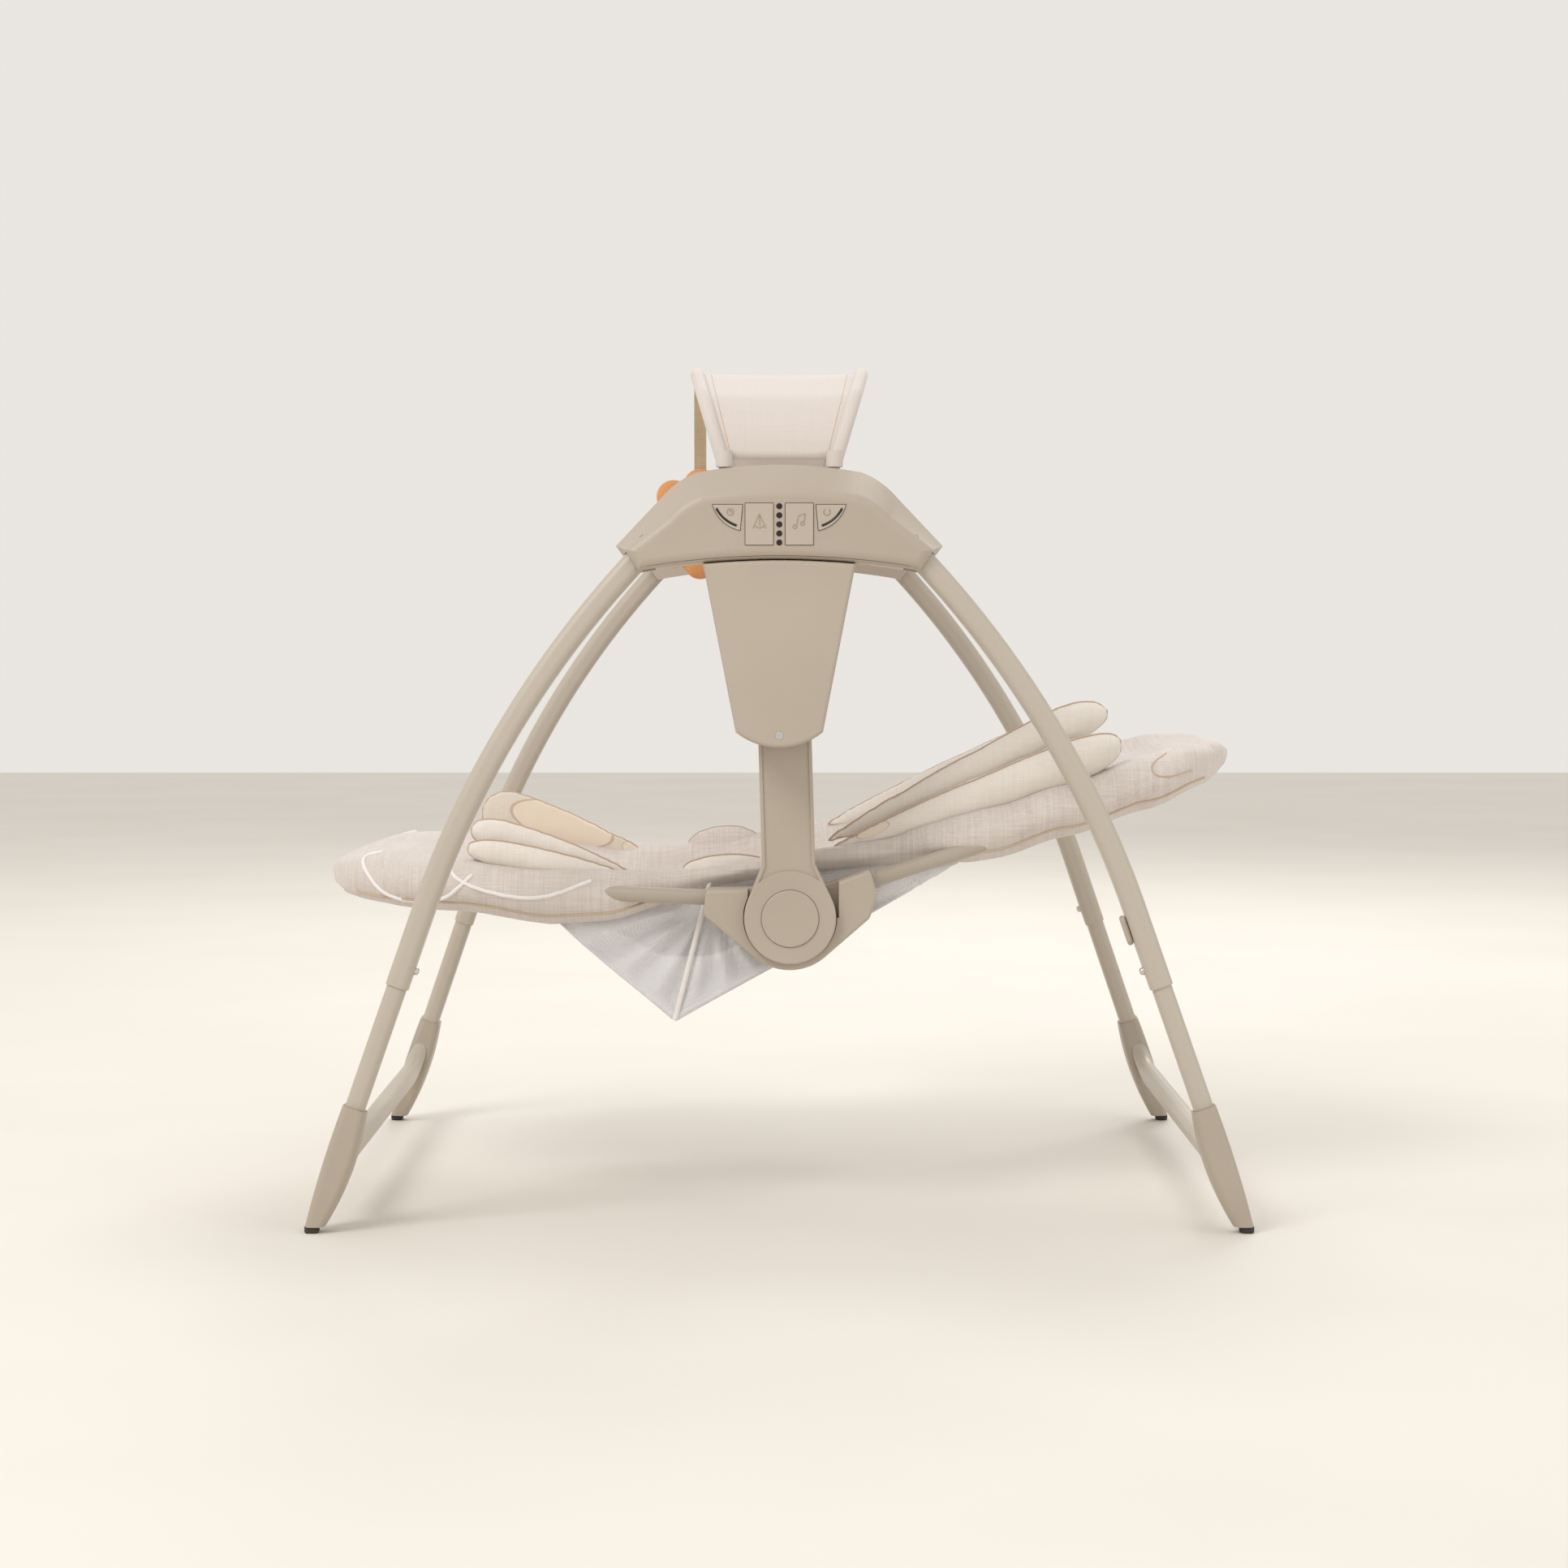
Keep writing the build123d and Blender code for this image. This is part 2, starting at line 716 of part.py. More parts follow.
def arm_plane(side, distance):
    """Origin at the recline pivot, with Y up the arm."""
    return Plane(
        origin=(recline_pivot_x, -side * distance, recline_pivot_z),
        x_dir=(arm_drop, 0, recline_pivot_x),
        z_dir=(0, -1, 0),
    )


def arm_outline(inset):
    """Ring, flare, arm and round head in one outline."""
    half, ring, crown = arm_width / 2 - inset, ring_radius - inset, arm_head_radius - inset
    # the flare leaves the arm at flare_top and meets the ring at a tangent
    turn = math.atan2(flare_top, half) - math.acos(ring / math.hypot(half, flare_top))
    touch = (ring * math.cos(turn), ring * math.sin(turn))
    head_low = arm_length - math.sqrt(crown**2 - half**2)
    with BuildLine() as outline:
        ThreePointArc(touch, (0, -ring), (-touch[0], touch[1]))
        Polyline((-touch[0], touch[1]), (-half, flare_top), (-half, head_low))
        ThreePointArc((-half, head_low), (0, arm_length + crown), (half, head_low))
        Polyline((half, head_low), (half, flare_top), touch)
    return outline.line


def swing_arm(side):
    depth = arm_outer_y - arm_inner_y
    with BuildPart() as arm:
        with BuildSketch(arm_plane(side, arm_inner_y)):
            add(arm_outline(0))
            make_face()
        extrude(amount=side * depth)
        outer_face = arm.faces().sort_by(Axis.Y)[0 if side == near else -1]
        fillet(outer_face.edges(), radius=arm_edge_radius)
        # the recessed panel ends in an arc over the ring
        with BuildSketch(arm_plane(side, arm_outer_y)):
            add(arm_outline(rim_width))
            make_face()
            Circle(ring_radius + 1.4, mode=Mode.SUBTRACT)
            with Locations((0, -ring_radius)):
                Rectangle(3 * ring_radius, 3.6 * ring_radius, mode=Mode.SUBTRACT)
        extrude(amount=-side * rim_height, mode=Mode.SUBTRACT)
        # hollow from the inner side, with two ribs
        with BuildSketch(arm_plane(side, arm_inner_y)):
            pocket_low, pocket_top = flare_top + 4.0, arm_length - arm_head_radius - 6.0
            with Locations((0, (pocket_low + pocket_top) / 2)):
                RectangleRounded(arm_pocket_width, pocket_top - pocket_low, 4.0)
                with GridLocations(0, (pocket_top - pocket_low) / 3, 1, 2):
                    Rectangle(arm_pocket_width, wall, mode=Mode.SUBTRACT)
        extrude(amount=side * (depth - rim_height - wall), mode=Mode.SUBTRACT)
        with BuildSketch(arm_plane(side, arm_inner_y)):
            Circle(axle_radius + clearance)
        extrude(amount=side * depth, mode=Mode.SUBTRACT)
        with BuildSketch(arm_plane(side, arm_outer_y)):
            Circle(cap_radius + clearance)
        extrude(amount=-side * cap_bore_depth, mode=Mode.SUBTRACT)
        shaft_root_y = arm_outer_y - rim_height - wall
        with BuildSketch(across(side, shaft_root_y)):
            with Locations((0, swing_pivot_z)):
                Circle(shaft_radius)
        extrude(amount=side * (shaft_end[side] - shaft_root_y))
    return arm.part


def recline_cap(side):
    inner = arm_outer_y - cap_bore_depth + cap_travel + clearance
    with BuildPart() as cap:
        with BuildSketch(arm_plane(side, inner)):
            Circle(cap_radius)
        extrude(amount=side * (arm_outer_y + cap_proud - inner))
        rim = cap.faces().sort_by(Axis.Y)[0 if side == near else -1]
        fillet(rim.edges(), radius=1.2)
        with BuildSketch(arm_plane(side, inner)):
            Circle(cap_stem_radius)
        extrude(amount=-side * cap_stem_length)
    return cap.part


for side in (near, far):
    save(swing_arm(side), f"{side_names[side]}_swing_arm")
    save(recline_cap(side), f"{side_names[side]}_recline_cap")

# ---------------------------------------------------------------- seat frame
sleeve_spot = {foot: Vector(-58.0, 0, 250.0), head: Vector(77.5, 0, 265.0)}
rise = {foot: foot_rise, head: head_rise}
tip = {foot: foot_tip, head: head_tip}
sleeve_radius = seat_tube_radius + 1.7
sleeve_length = 34.0
bracket_inner_y, bracket_plate_y, bracket_lip_y = 169.5, arm_inner_y - 0.6, 206.0
tip_gap = 9.0               # pad past the tube at the tip
tip_corner_y = 150.0
tip_radius = 125.0
lip_radius = 2.4            # round on the bracket's outer edge
tube_waist_x = 52.0         # tube's straight part outside its sleeve


def seat_plane(end, offset=0.0):
    """The sloping plane of one seat half: X along the seat away from the hub, Y across."""
    origin = sleeve_spot[end]
    slope = Vector(end, 0, rise[end])
    normal = Vector(-end * rise[end], 0, 1).normalized()
    return Plane(origin=origin + normal * offset, x_dir=slope, z_dir=normal)


def along(end, x):
    """Distance along a seat half's plane to a place given by its X."""
    return end * (x - sleeve_spot[end].X) * math.hypot(1, rise[end])


# a boat-shaped plate around the recline hub, relative to the pivot: X, Z and corner radius
keel_radius = ring_radius + 6.7
bracket_corners = (
    (31.0, 25.5, 0.0),
    (-30.0, 22.0, 0.0),
    (-66.5, 21.5, 3.0),
    (-68.5, 1.5, 7.0),
    (0.6, -55.0, keel_radius),
    (63.0, -0.5, 7.0),
    (69.0, 18.0, 7.0),
    (63.5, 37.5, 3.0),
)


def seat_bracket(side):
    pivot_plane = Plane(
        origin=(recline_pivot_x, -side * bracket_inner_y, recline_pivot_z),
        x_dir=(1, 0, 0),
        z_dir=(0, -1, 0),
    )
    lip_plane = pivot_plane.offset(side * (bracket_plate_y - bracket_inner_y))
    lip_depth = bracket_lip_y - bracket_plate_y
    with BuildPart() as bracket:
        with BuildSketch(pivot_plane):
            Polygon(*[(x, z) for x, z, _ in bracket_corners], align=None)
            for x, z, radius in bracket_corners:
                if radius:
                    fillet(vertices().sort_by_distance((x, z, 0))[0], radius=radius)
        extrude(amount=side * (bracket_lip_y - bracket_inner_y))
        outer_face = bracket.faces().sort_by(Axis.Y)[0 if side == near else -1]
        fillet(outer_face.edges(), radius=lip_radius)
        # the arm's ring turns in a round pocket that is open upwards
        with BuildSketch(lip_plane):
            Circle(ring_radius + clearance + 0.5)
            with Locations((2.5, 0)):
                Rectangle(72.0, 60.0, align=(Align.CENTER, Align.MIN))
        extrude(amount=side * (lip_depth + 1), mode=Mode.SUBTRACT)
        for end in (foot, head):
            slope = Vector(end, 0, rise[end]).normalized()
            mouth = sleeve_spot[end] + Vector(0, -side * tube_y, 0)
            with Locations(Plane(mouth, x_dir=(0, 1, 0), z_dir=slope)):
                Cylinder(
                    sleeve_radius, sleeve_length, align=(Align.CENTER, Align.CENTER, Align.MAX)
                )
                Cylinder(
                    seat_tube_radius + fit_gap,
                    2 * (sleeve_length - 4.0),
                    mode=Mode.SUBTRACT,
                )
        with BuildSketch(lip_plane):
            Circle(axle_radius)
        extrude(amount=side * (arm_outer_y - cap_bore_depth - bracket_plate_y - clearance))
        with BuildSketch(lip_plane):
            Circle(cap_stem_radius + clearance)
        extrude(amount=side * lip_depth, mode=Mode.SUBTRACT)
        with BuildSketch(lip_plane):
            Circle(cap_stem_radius + clearance)
        extrude(amount=-side * 6.0, mode=Mode.SUBTRACT)
    return bracket.part


def seat_loop(end):
    """One bent tube: out of the near sleeve, round the tip and into the far sleeve."""
    start = -sleeve_length + 6.0
    waist = along(end, sleeve_spot[end].X + end * tube_waist_x)
    tip_reach = along(end, tip[end] - end * tip_gap)
    plane = seat_plane(end)
    with BuildPart() as loop:
        with BuildLine(plane) as path:
            FilletPolyline(
                (start, -tube_y),
                (waist, -tube_y),
                (tip_reach, -tip_corner_y),
                (tip_reach, tip_corner_y),
                (waist, tube_y),
                (start, tube_y),
                radius=(200.0, tip_radius, tip_radius, 200.0),
            )
        with BuildSketch(Plane(path.line @ 0, x_dir=plane.z_dir, z_dir=path.line % 0)):
            Circle(seat_tube_radius)
            Circle(seat_tube_radius - tube_wall, mode=Mode.SUBTRACT)
        sweep()
    return loop.part


for side in (near, far):
    save(seat_bracket(side), f"{side_names[side]}_seat_bracket")
for end in (foot, head):
    save(seat_loop(end), f"{end_names[end]}_seat_loop")

# ---------------------------------------------------------------- seat cloth
pad_base = seat_tube_radius + cloth_gap   # the pad lies on the seat tubes
pad_split_x = {foot: 2.0, head: 11.0}     # the two pad halves meet under the arms
waist_end_x = {foot: -84.0, head: 100.0}
shoulder_x_reach = 50.0                   # over which the pad widens past a bracket
well_x = {foot: -160.0, head: 150.0}
cloth_thickness = 1.6
sling_half_width = 158.0
wing_thickness = 14.0


def seat_pad(end):
    """A petal-shaped cushion on the seat tubes, cut away over the seat's hollow."""
    waist = along(end, waist_end_x[end])
    wide = waist + shoulder_x_reach
    inner = along(end, pad_split_x[end])
    reach = along(end, tip[end])
    with BuildPart() as pad:
        with BuildSketch(seat_plane(end, pad_base)):
            Polygon(
                (inner, -waist_half_width),
                (waist, -waist_half_width),
                (wide, -seat_half_width),
                (reach, -tip_corner_y - tip_gap),
                (reach, tip_corner_y + tip_gap),
                (wide, seat_half_width),
                (waist, waist_half_width),
                (inner, waist_half_width),
                align=None,
            )
            fillet([v for v in vertices() if v.X > wide + 1], radius=tip_radius + tip_gap)
            fillet([v for v in vertices() if waist - 1 < v.X < wide + 1], radius=25.0)
            well = along(end, well_x[end])
            with Locations((inner - 1, 0)):
                Rectangle(
                    well - inner + 1,
                    2 * well_half_width,
                    align=(Align.MIN, Align.CENTER),
                    mode=Mode.SUBTRACT,
                )
        extrude(amount=pad_height)
        rims = pad.faces().sort_by(Axis(seat_plane(end).origin, seat_plane(end).z_dir))
        fillet(rims[-1].outer_wire().edges(), radius=4.0)
    return pad.part


for end in (foot, head):
    save(seat_pad(end), f"{end_names[end]}_pad")

# the mesh sling hangs below the trough, its upper edges sewn under the pads
sling_end_x = {foot: -213.0, head: 188.0}
sling_seam = 3.5                          # width of the sewn edge
sling_floor = 1.6 * cloth_thickness


def pad_underside(end, x):
    """Height of a pad's lower face over the floor."""
    slope_length = math.hypot(1, rise[end])
    return sleeve_spot[end].Z + rise[end] * end * (x - sleeve_spot[end].X) + pad_base * slope_length


def sling_inside(end, x):
    """Height of the sling's inner face on the slope towards one end."""
    top_x = sling_end_x[end] - end * sling_seam
    low_z = sling_low_z + sling_floor
    top_z = pad_underside(end, sling_end_x[end])
    return low_z + (top_z - low_z) * (x - sling_low_x) / (top_x - sling_low_x)


# the trough is the middle of the seat, a padded tub inside the mesh sling
trough_inset = {foot: 5.0, head: -4.0}    # trough's upper corners from the well's ends
trough_floor_gap = 18.0                   # trough over the sling's lowest line
foam_top_z = 200.0                        # trough's hollow at its lowest point
foam_head_rise = 70.0                     # hollow's rise towards the head end
hollow_top_z = 330.0                      # open above everything
trough_low = (sling_low_x, sling_low_z + trough_floor_gap)
trough_foot_x = well_x[foot] + trough_inset[foot]
trough_head_x = well_x[head] + trough_inset[head]
trough_foot = (trough_foot_x, pad_underside(foot, trough_foot_x) + 7.3)
trough_head = (trough_head_x, sling_inside(head, trough_head_x) + 2 * cloth_gap)
hollow_foot_x = trough_foot_x + 2.4 * trough_thickness
hollow_head_x = trough_head_x - 3.0 * trough_thickness
trough_half_width = well_half_width - 1.0
with BuildPart() as seat_trough:
    with BuildSketch(across(near, -trough_half_width)):
        Polygon(trough_foot, trough_low, trough_head, align=None)
        fillet(vertices().sort_by(Axis.Y)[0], radius=25.0)
    extrude(amount=2 * trough_half_width)
    with BuildSketch(across(near, -trough_half_width + trough_thickness)):
        Polygon(trough_foot, trough_low, trough_head, align=None)
        offset(amount=-trough_thickness, kind=Kind.INTERSECTION)
        Polygon(
            (hollow_foot_x, trough_foot[1] - 6.0),
            (sling_low_x, foam_top_z),
            (hollow_head_x, foam_top_z + foam_head_rise),
            (trough_head_x, hollow_top_z),
            (trough_foot_x, hollow_top_z),
            align=None,
        )
    extrude(amount=2 * (trough_half_width - trough_thickness), mode=Mode.SUBTRACT)
save(seat_trough.part, "seat_trough")

head_split_low = pad_split_x[head] - 3.0
sling_outline = [
    (x, pad_underside(end, x) - cloth_gap)
    for end, x in (
        (foot, sling_end_x[foot]),
        (foot, pad_split_x[foot]),
        (head, head_split_low),
        (head, sling_end_x[head]),
    )
]
with BuildPart() as mesh_sling:
    with BuildSketch(across(near, -sling_half_width)):
        Polygon(*sling_outline, (sling_low_x, sling_low_z), align=None)
    extrude(amount=2 * sling_half_width)
    with BuildSketch(across(near, -sling_half_width + cloth_thickness)):
        Polygon(
            (sling_end_x[foot] + sling_seam, pad_underside(foot, sling_end_x[foot])),
            (sling_low_x, sling_low_z + sling_floor),
            (sling_end_x[head] - sling_seam, pad_underside(head, sling_end_x[head])),
            (sling_end_x[head], hollow_top_z),
            (sling_end_x[foot], hollow_top_z),
            align=None,
        )
    extrude(amount=2 * (sling_half_width - cloth_thickness), mode=Mode.SUBTRACT)
save(mesh_sling.part, "mesh_sling")


def leaf(side, root, slope, length, width, thickness, splay=0.0):
    """A lens-shaped cushion: root is (x, distance from the middle, z) of its inner end."""
    end = 1 if length > 0 else -1
    reach = abs(length)
    base = Plane(
        origin=(root[0], -side * root[1], root[2]),
        x_dir=(end * math.cos(slope), -side * splay, math.sin(slope)),
        z_dir=(-end * math.sin(slope), 0, math.cos(slope)),
    )
    with BuildPart() as cushion:
        with BuildSketch(base):
            with BuildLine():
                ThreePointArc((0, 0), (reach * 0.55, width / 2), (reach, 0))
                ThreePointArc((reach, 0), (reach * 0.55, -width / 2), (0, 0))
            make_face()
            fillet(vertices(), radius=9.0)
        extrude(amount=thickness)
        fillet(cushion.faces().sort_by(Axis(base.origin, base.z_dir))[-1].edges(), radius=4.0)
    return cushion.part


def pad_top(end, x):
    """Height of a pad's upper face over the floor, with the soft gap."""
    height = (pad_base + pad_height + cloth_gap) * math.hypot(1, rise[end])
    return sleeve_spot[end].Z + rise[end] * end * (x - sleeve_spot[end].X) + height


foot_slope, head_slope = math.atan(foot_rise), math.atan(head_rise)
wing_y = 138.0
wings = {
    "foot_wing_near": leaf(near, (-92.0, wing_y, pad_top(foot, -92.0)), foot_slope, -165.0, 60.0, 20.0),
    "foot_wing_far": leaf(far, (-92.0, wing_y, pad_top(foot, -92.0)), foot_slope, -175.0, 60.0, 24.0),
    "hip_bolster_near": leaf(near, (-4.0, 150.0, pad_top(foot, -80.0)), 0.0, -78.0, 32.0, 14.0),
    "hip_bolster_far": leaf(far, (-4.0, 150.0, pad_top(foot, -80.0)), 0.0, -78.0, 32.0, 14.0),
}
head_root = 26.0
lower_slope = head_slope + math.radians(3.5)
upper_slope = head_slope + math.radians(7.5)
lower_base = pad_top(head, head_root) - 0.5
upper_base = lower_base + 0.87 * wing_thickness + cloth_gap
wings["head_wing_near_lower"] = leaf(
    near, (head_root, wing_y + 4, lower_base), lower_slope, 268.0, 74.0, wing_thickness)
wings["head_wing_near_upper"] = leaf(
    near, (head_root - 6.0, wing_y, upper_base), upper_slope, 262.0, 66.0, wing_thickness)
wings["head_wing_far"] = leaf(
    far, (head_root, wing_y + 4, lower_base), lower_slope, 268.0, 74.0, 1.8 * wing_thickness)
for name, piece in wings.items():
    save(piece, name)

# harness: a waist strap across the trough and a crotch strap down its middle
strap_width, strap_thickness = 25.0, 2.0
crotch_strap_length = 70.0
buckle_length, buckle_width, buckle_thickness = 46.0, 40.0, 12.0
strap_slope = math.atan2(foam_head_rise, hollow_head_x - sling_low_x)
strap_plane = Plane(
    origin=(0, 0, foam_top_z - sling_low_x * math.tan(strap_slope) + 1.2 * cloth_gap),
    x_dir=(math.cos(strap_slope), 0, math.sin(strap_slope)),
    z_dir=(-math.sin(strap_slope), 0, math.cos(strap_slope)),
)
strap_half_span = trough_half_width - trough_thickness - cloth_gap
with BuildPart() as harness_straps:
    with BuildSketch(strap_plane):
        Rectangle(strap_width, 2 * strap_half_span)
        Rectangle(crotch_strap_length, strap_width, align=(Align.MAX, Align.CENTER))
    extrude(amount=strap_thickness)
save(harness_straps.part, "harness_straps")

with BuildPart() as harness_buckle:
    with BuildSketch(strap_plane.offset(strap_thickness + clearance)):
        RectangleRounded(buckle_length, buckle_width, 9.0)
    extrude(amount=buckle_thickness)
    fillet(harness_buckle.faces().sort_by(Axis.Z)[-1].edges(), radius=3.0)
save(harness_buckle.part, "harness_buckle")

# ---------------------------------------------------------------- toy arch
arch_rise = crest_z - plug_seat_z
arch_flare = (crest_half_length - arch_foot_half_length) / arch_rise
flare_length = math.hypot(1, arch_flare)
plug_collar, plug_collar_height = 5.6, 4.0
arch_shape = (
    (arch_y, 0.0),
    (arch_y - 9.0, 0.58 * arch_rise),
    (0.54 * arch_y, arch_rise),
)
arch_radii = (55.0, 150.0, 150.0, 55.0)


def arch_points(stretch, shrink=0.0):
    """The arch from the near hub to the far one: Y, and height over the plugs."""
    right = [(y - shrink, height * stretch - (shrink if height else 0)) for y, height in arch_shape]
    left = [(-y, height) for y, height in right]
    return left + right[::-1]


def arch_radius_list(shrink=0.0):
    return [radius - shrink for radius in arch_radii]


with BuildPart() as arch_rods:
    for end in (foot, head):
        plane = Plane(
            origin=(end * arch_foot_half_length, 0, plug_seat_z + plug_collar_height),
            x_dir=(0, 1, 0),
            z_dir=(1, 0, -end * arch_flare),
        )
        drop = (arch_rise - rod_radius - plug_collar_height) / arch_rise
        with BuildLine(plane) as path:
            FilletPolyline(*arch_points(flare_length * drop), radius=arch_radius_list())
        with BuildSketch(Plane(path.line @ 0, z_dir=path.line % 0)):
            Circle(rod_radius)
        sweep()
        for side in (near, far):
            with Locations((end * arch_foot_half_length, -side * arch_y, plug_seat_z)):
                Cylinder(plug_radius, plug_depth, align=(Align.CENTER, Align.CENTER, Align.MAX))
                Cylinder(
                    plug_collar, plug_collar_height + 1.0, align=(Align.CENTER, Align.CENTER, Align.MIN)
                )
save(arch_rods.part, "arch_rods")

# the cloth spans the two rods; its long edges stop at them
canopy_thickness = 2.0
canopy_start = plug_seat_z + plug_collar_height + 3.0
canopy_plane = Plane(
    origin=(-2 * crest_half_length, 0, plug_seat_z), x_dir=(0, 1, 0), z_dir=(1, 0, 0)
)
with BuildPart() as canopy:
    with BuildSketch(canopy_plane):
        with BuildLine():
            outer = FilletPolyline(*arch_points(1.0), radius=arch_radius_list())
            inner = FilletPolyline(
                *arch_points(1.0, canopy_thickness), radius=arch_radius_list(canopy_thickness)
            )
            Line(outer @ 0, inner @ 0)
            Line(outer @ 1, inner @ 1)
        make_face()
    extrude(amount=4 * crest_half_length)
    for end in (foot, head):
        inset = (rod_radius + cloth_gap) * flare_length
        edge = Plane(
            origin=(end * (arch_foot_half_length - inset), 0, plug_seat_z + plug_collar_height),
            x_dir=(0, 1, 0),
            z_dir=(end, 0, -arch_flare),
        )
        split(bisect_by=edge, keep=Keep.BOTTOM)
    split(bisect_by=Plane.XY.offset(canopy_start), keep=Keep.TOP)
save(canopy.part, "canopy")

# one hanging toy: a plush flower on a ribbon
toy_y, toy_z, toy_petals = 35.0, 551.0, 8
petal_ring, petal_radius, petal_thickness = 33.0, 15.0, 18.0
toy_core_radius, toy_core_thickness = 26.0, 28.0
ribbon_width, ribbon_thickness = 8.0, 1.6
toy_x = -(crest_half_length - 3.0)
ribbon_top = crest_z - 2 * rod_radius - 1.8 * cloth_gap
with BuildPart() as flower_toy:
    with BuildSketch(across(near, toy_y - petal_thickness / 2)):
        with Locations((toy_x, toy_z)):
            with PolarLocations(petal_ring, toy_petals):
                Circle(petal_radius)
            Circle(petal_ring)
    extrude(amount=petal_thickness)
    with BuildSketch(across(near, toy_y - toy_core_thickness / 2)):
        with Locations((toy_x, toy_z)):
            Circle(toy_core_radius)
    extrude(amount=toy_core_thickness)
    with Locations((toy_x, -toy_y, toy_z + petal_ring)):
        Box(
            ribbon_width, ribbon_thickness, ribbon_top - toy_z - petal_ring,
            align=(Align.CENTER, Align.CENTER, Align.MIN),
        )
save(flower_toy.part, "flower_toy")
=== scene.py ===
# %% [markdown]
# # A portable baby swing
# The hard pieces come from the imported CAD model. This notebook gives them their finishes,
# sews the soft goods over them, and sets up the camera and the lights.

# %% Load the frame
import math
import bpy
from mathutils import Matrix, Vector


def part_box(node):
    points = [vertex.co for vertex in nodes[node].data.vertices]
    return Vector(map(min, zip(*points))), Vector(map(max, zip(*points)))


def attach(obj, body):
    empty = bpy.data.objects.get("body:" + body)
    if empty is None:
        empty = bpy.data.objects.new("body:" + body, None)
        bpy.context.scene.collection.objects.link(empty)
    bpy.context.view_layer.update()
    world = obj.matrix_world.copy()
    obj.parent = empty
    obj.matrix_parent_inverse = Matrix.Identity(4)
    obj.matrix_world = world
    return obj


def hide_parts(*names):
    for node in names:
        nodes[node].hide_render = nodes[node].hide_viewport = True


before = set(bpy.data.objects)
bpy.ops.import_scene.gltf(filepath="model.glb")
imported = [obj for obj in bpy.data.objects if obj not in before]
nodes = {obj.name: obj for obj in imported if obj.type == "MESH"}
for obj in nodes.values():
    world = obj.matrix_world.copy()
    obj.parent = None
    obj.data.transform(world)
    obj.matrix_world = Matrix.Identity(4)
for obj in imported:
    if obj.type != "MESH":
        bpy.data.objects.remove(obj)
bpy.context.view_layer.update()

# %% [markdown]
# ## Camera
# The swing is seen side-on from just above the hubs. A long lens keeps the near and far
# legs almost the same size, so the camera stands well back.

# %% Camera
camera_distance, camera_height = 2.76, 0.475  # metres, from the swing's middle and the floor
camera_tilt = math.radians(2.987)
lens_length, sensor_width = 74.6, 36  # millimetres
camera_data = bpy.data.cameras.new("camera")
camera_data.lens = lens_length
camera_data.sensor_width = sensor_width
camera_data.shift_x = 0.003
camera = bpy.data.objects.new("camera", camera_data)
bpy.context.scene.collection.objects.link(camera)
camera.location = (0, -camera_distance, camera_height)
camera.rotation_euler = (math.pi / 2 - camera_tilt, 0, 0)
bpy.context.scene.camera = camera
print("camera:", camera_data.lens, "mm at", tuple(round(v, 3) for v in camera.location))

# %% [markdown]
# ## Shader sums
# A finish is a small sum of patterns. One class wraps a node's output so that the sums can
# be written as plain Python, and one method adds any other node.


# %% Shader sums
class Pattern:
    """A node's output that can be used in sums."""

    def __init__(self, finish, socket):
        self.finish = finish
        self.socket = socket

    def _sum(self, operation, *values):
        return self.finish.add("Math", {"operation": operation}, dict(enumerate(values)))

    def __add__(self, other):
        return self._sum("ADD", self, other)

    def __radd__(self, other):
        return self._sum("ADD", other, self)

    def __sub__(self, other):
        return self._sum("SUBTRACT", self, other)

    def __rsub__(self, other):
        return self._sum("SUBTRACT", other, self)

    def __mul__(self, other):
        return self._sum("MULTIPLY", self, other)

    def __rmul__(self, other):
        return self._sum("MULTIPLY", other, self)

    def __truediv__(self, other):
        return self._sum("DIVIDE", self, other)

    def __pow__(self, other):
        return self._sum("POWER", self, other)

    def sine(self):
        return self._sum("SINE", self)

    def root(self):
        return self._sum("SQRT", self)

    def size(self):
        return self._sum("ABSOLUTE", self)

    def below(self, edge, soft):
        """1 where the value is under an edge, 0 past it, with a soft change between."""
        return self.finish.add(
            "MapRange",
            {"interpolation_type": "SMOOTHSTEP"},
            {"Value": self, "From Min": edge - soft, "From Max": edge + soft,
             "To Min": 1, "To Max": 0},
        )


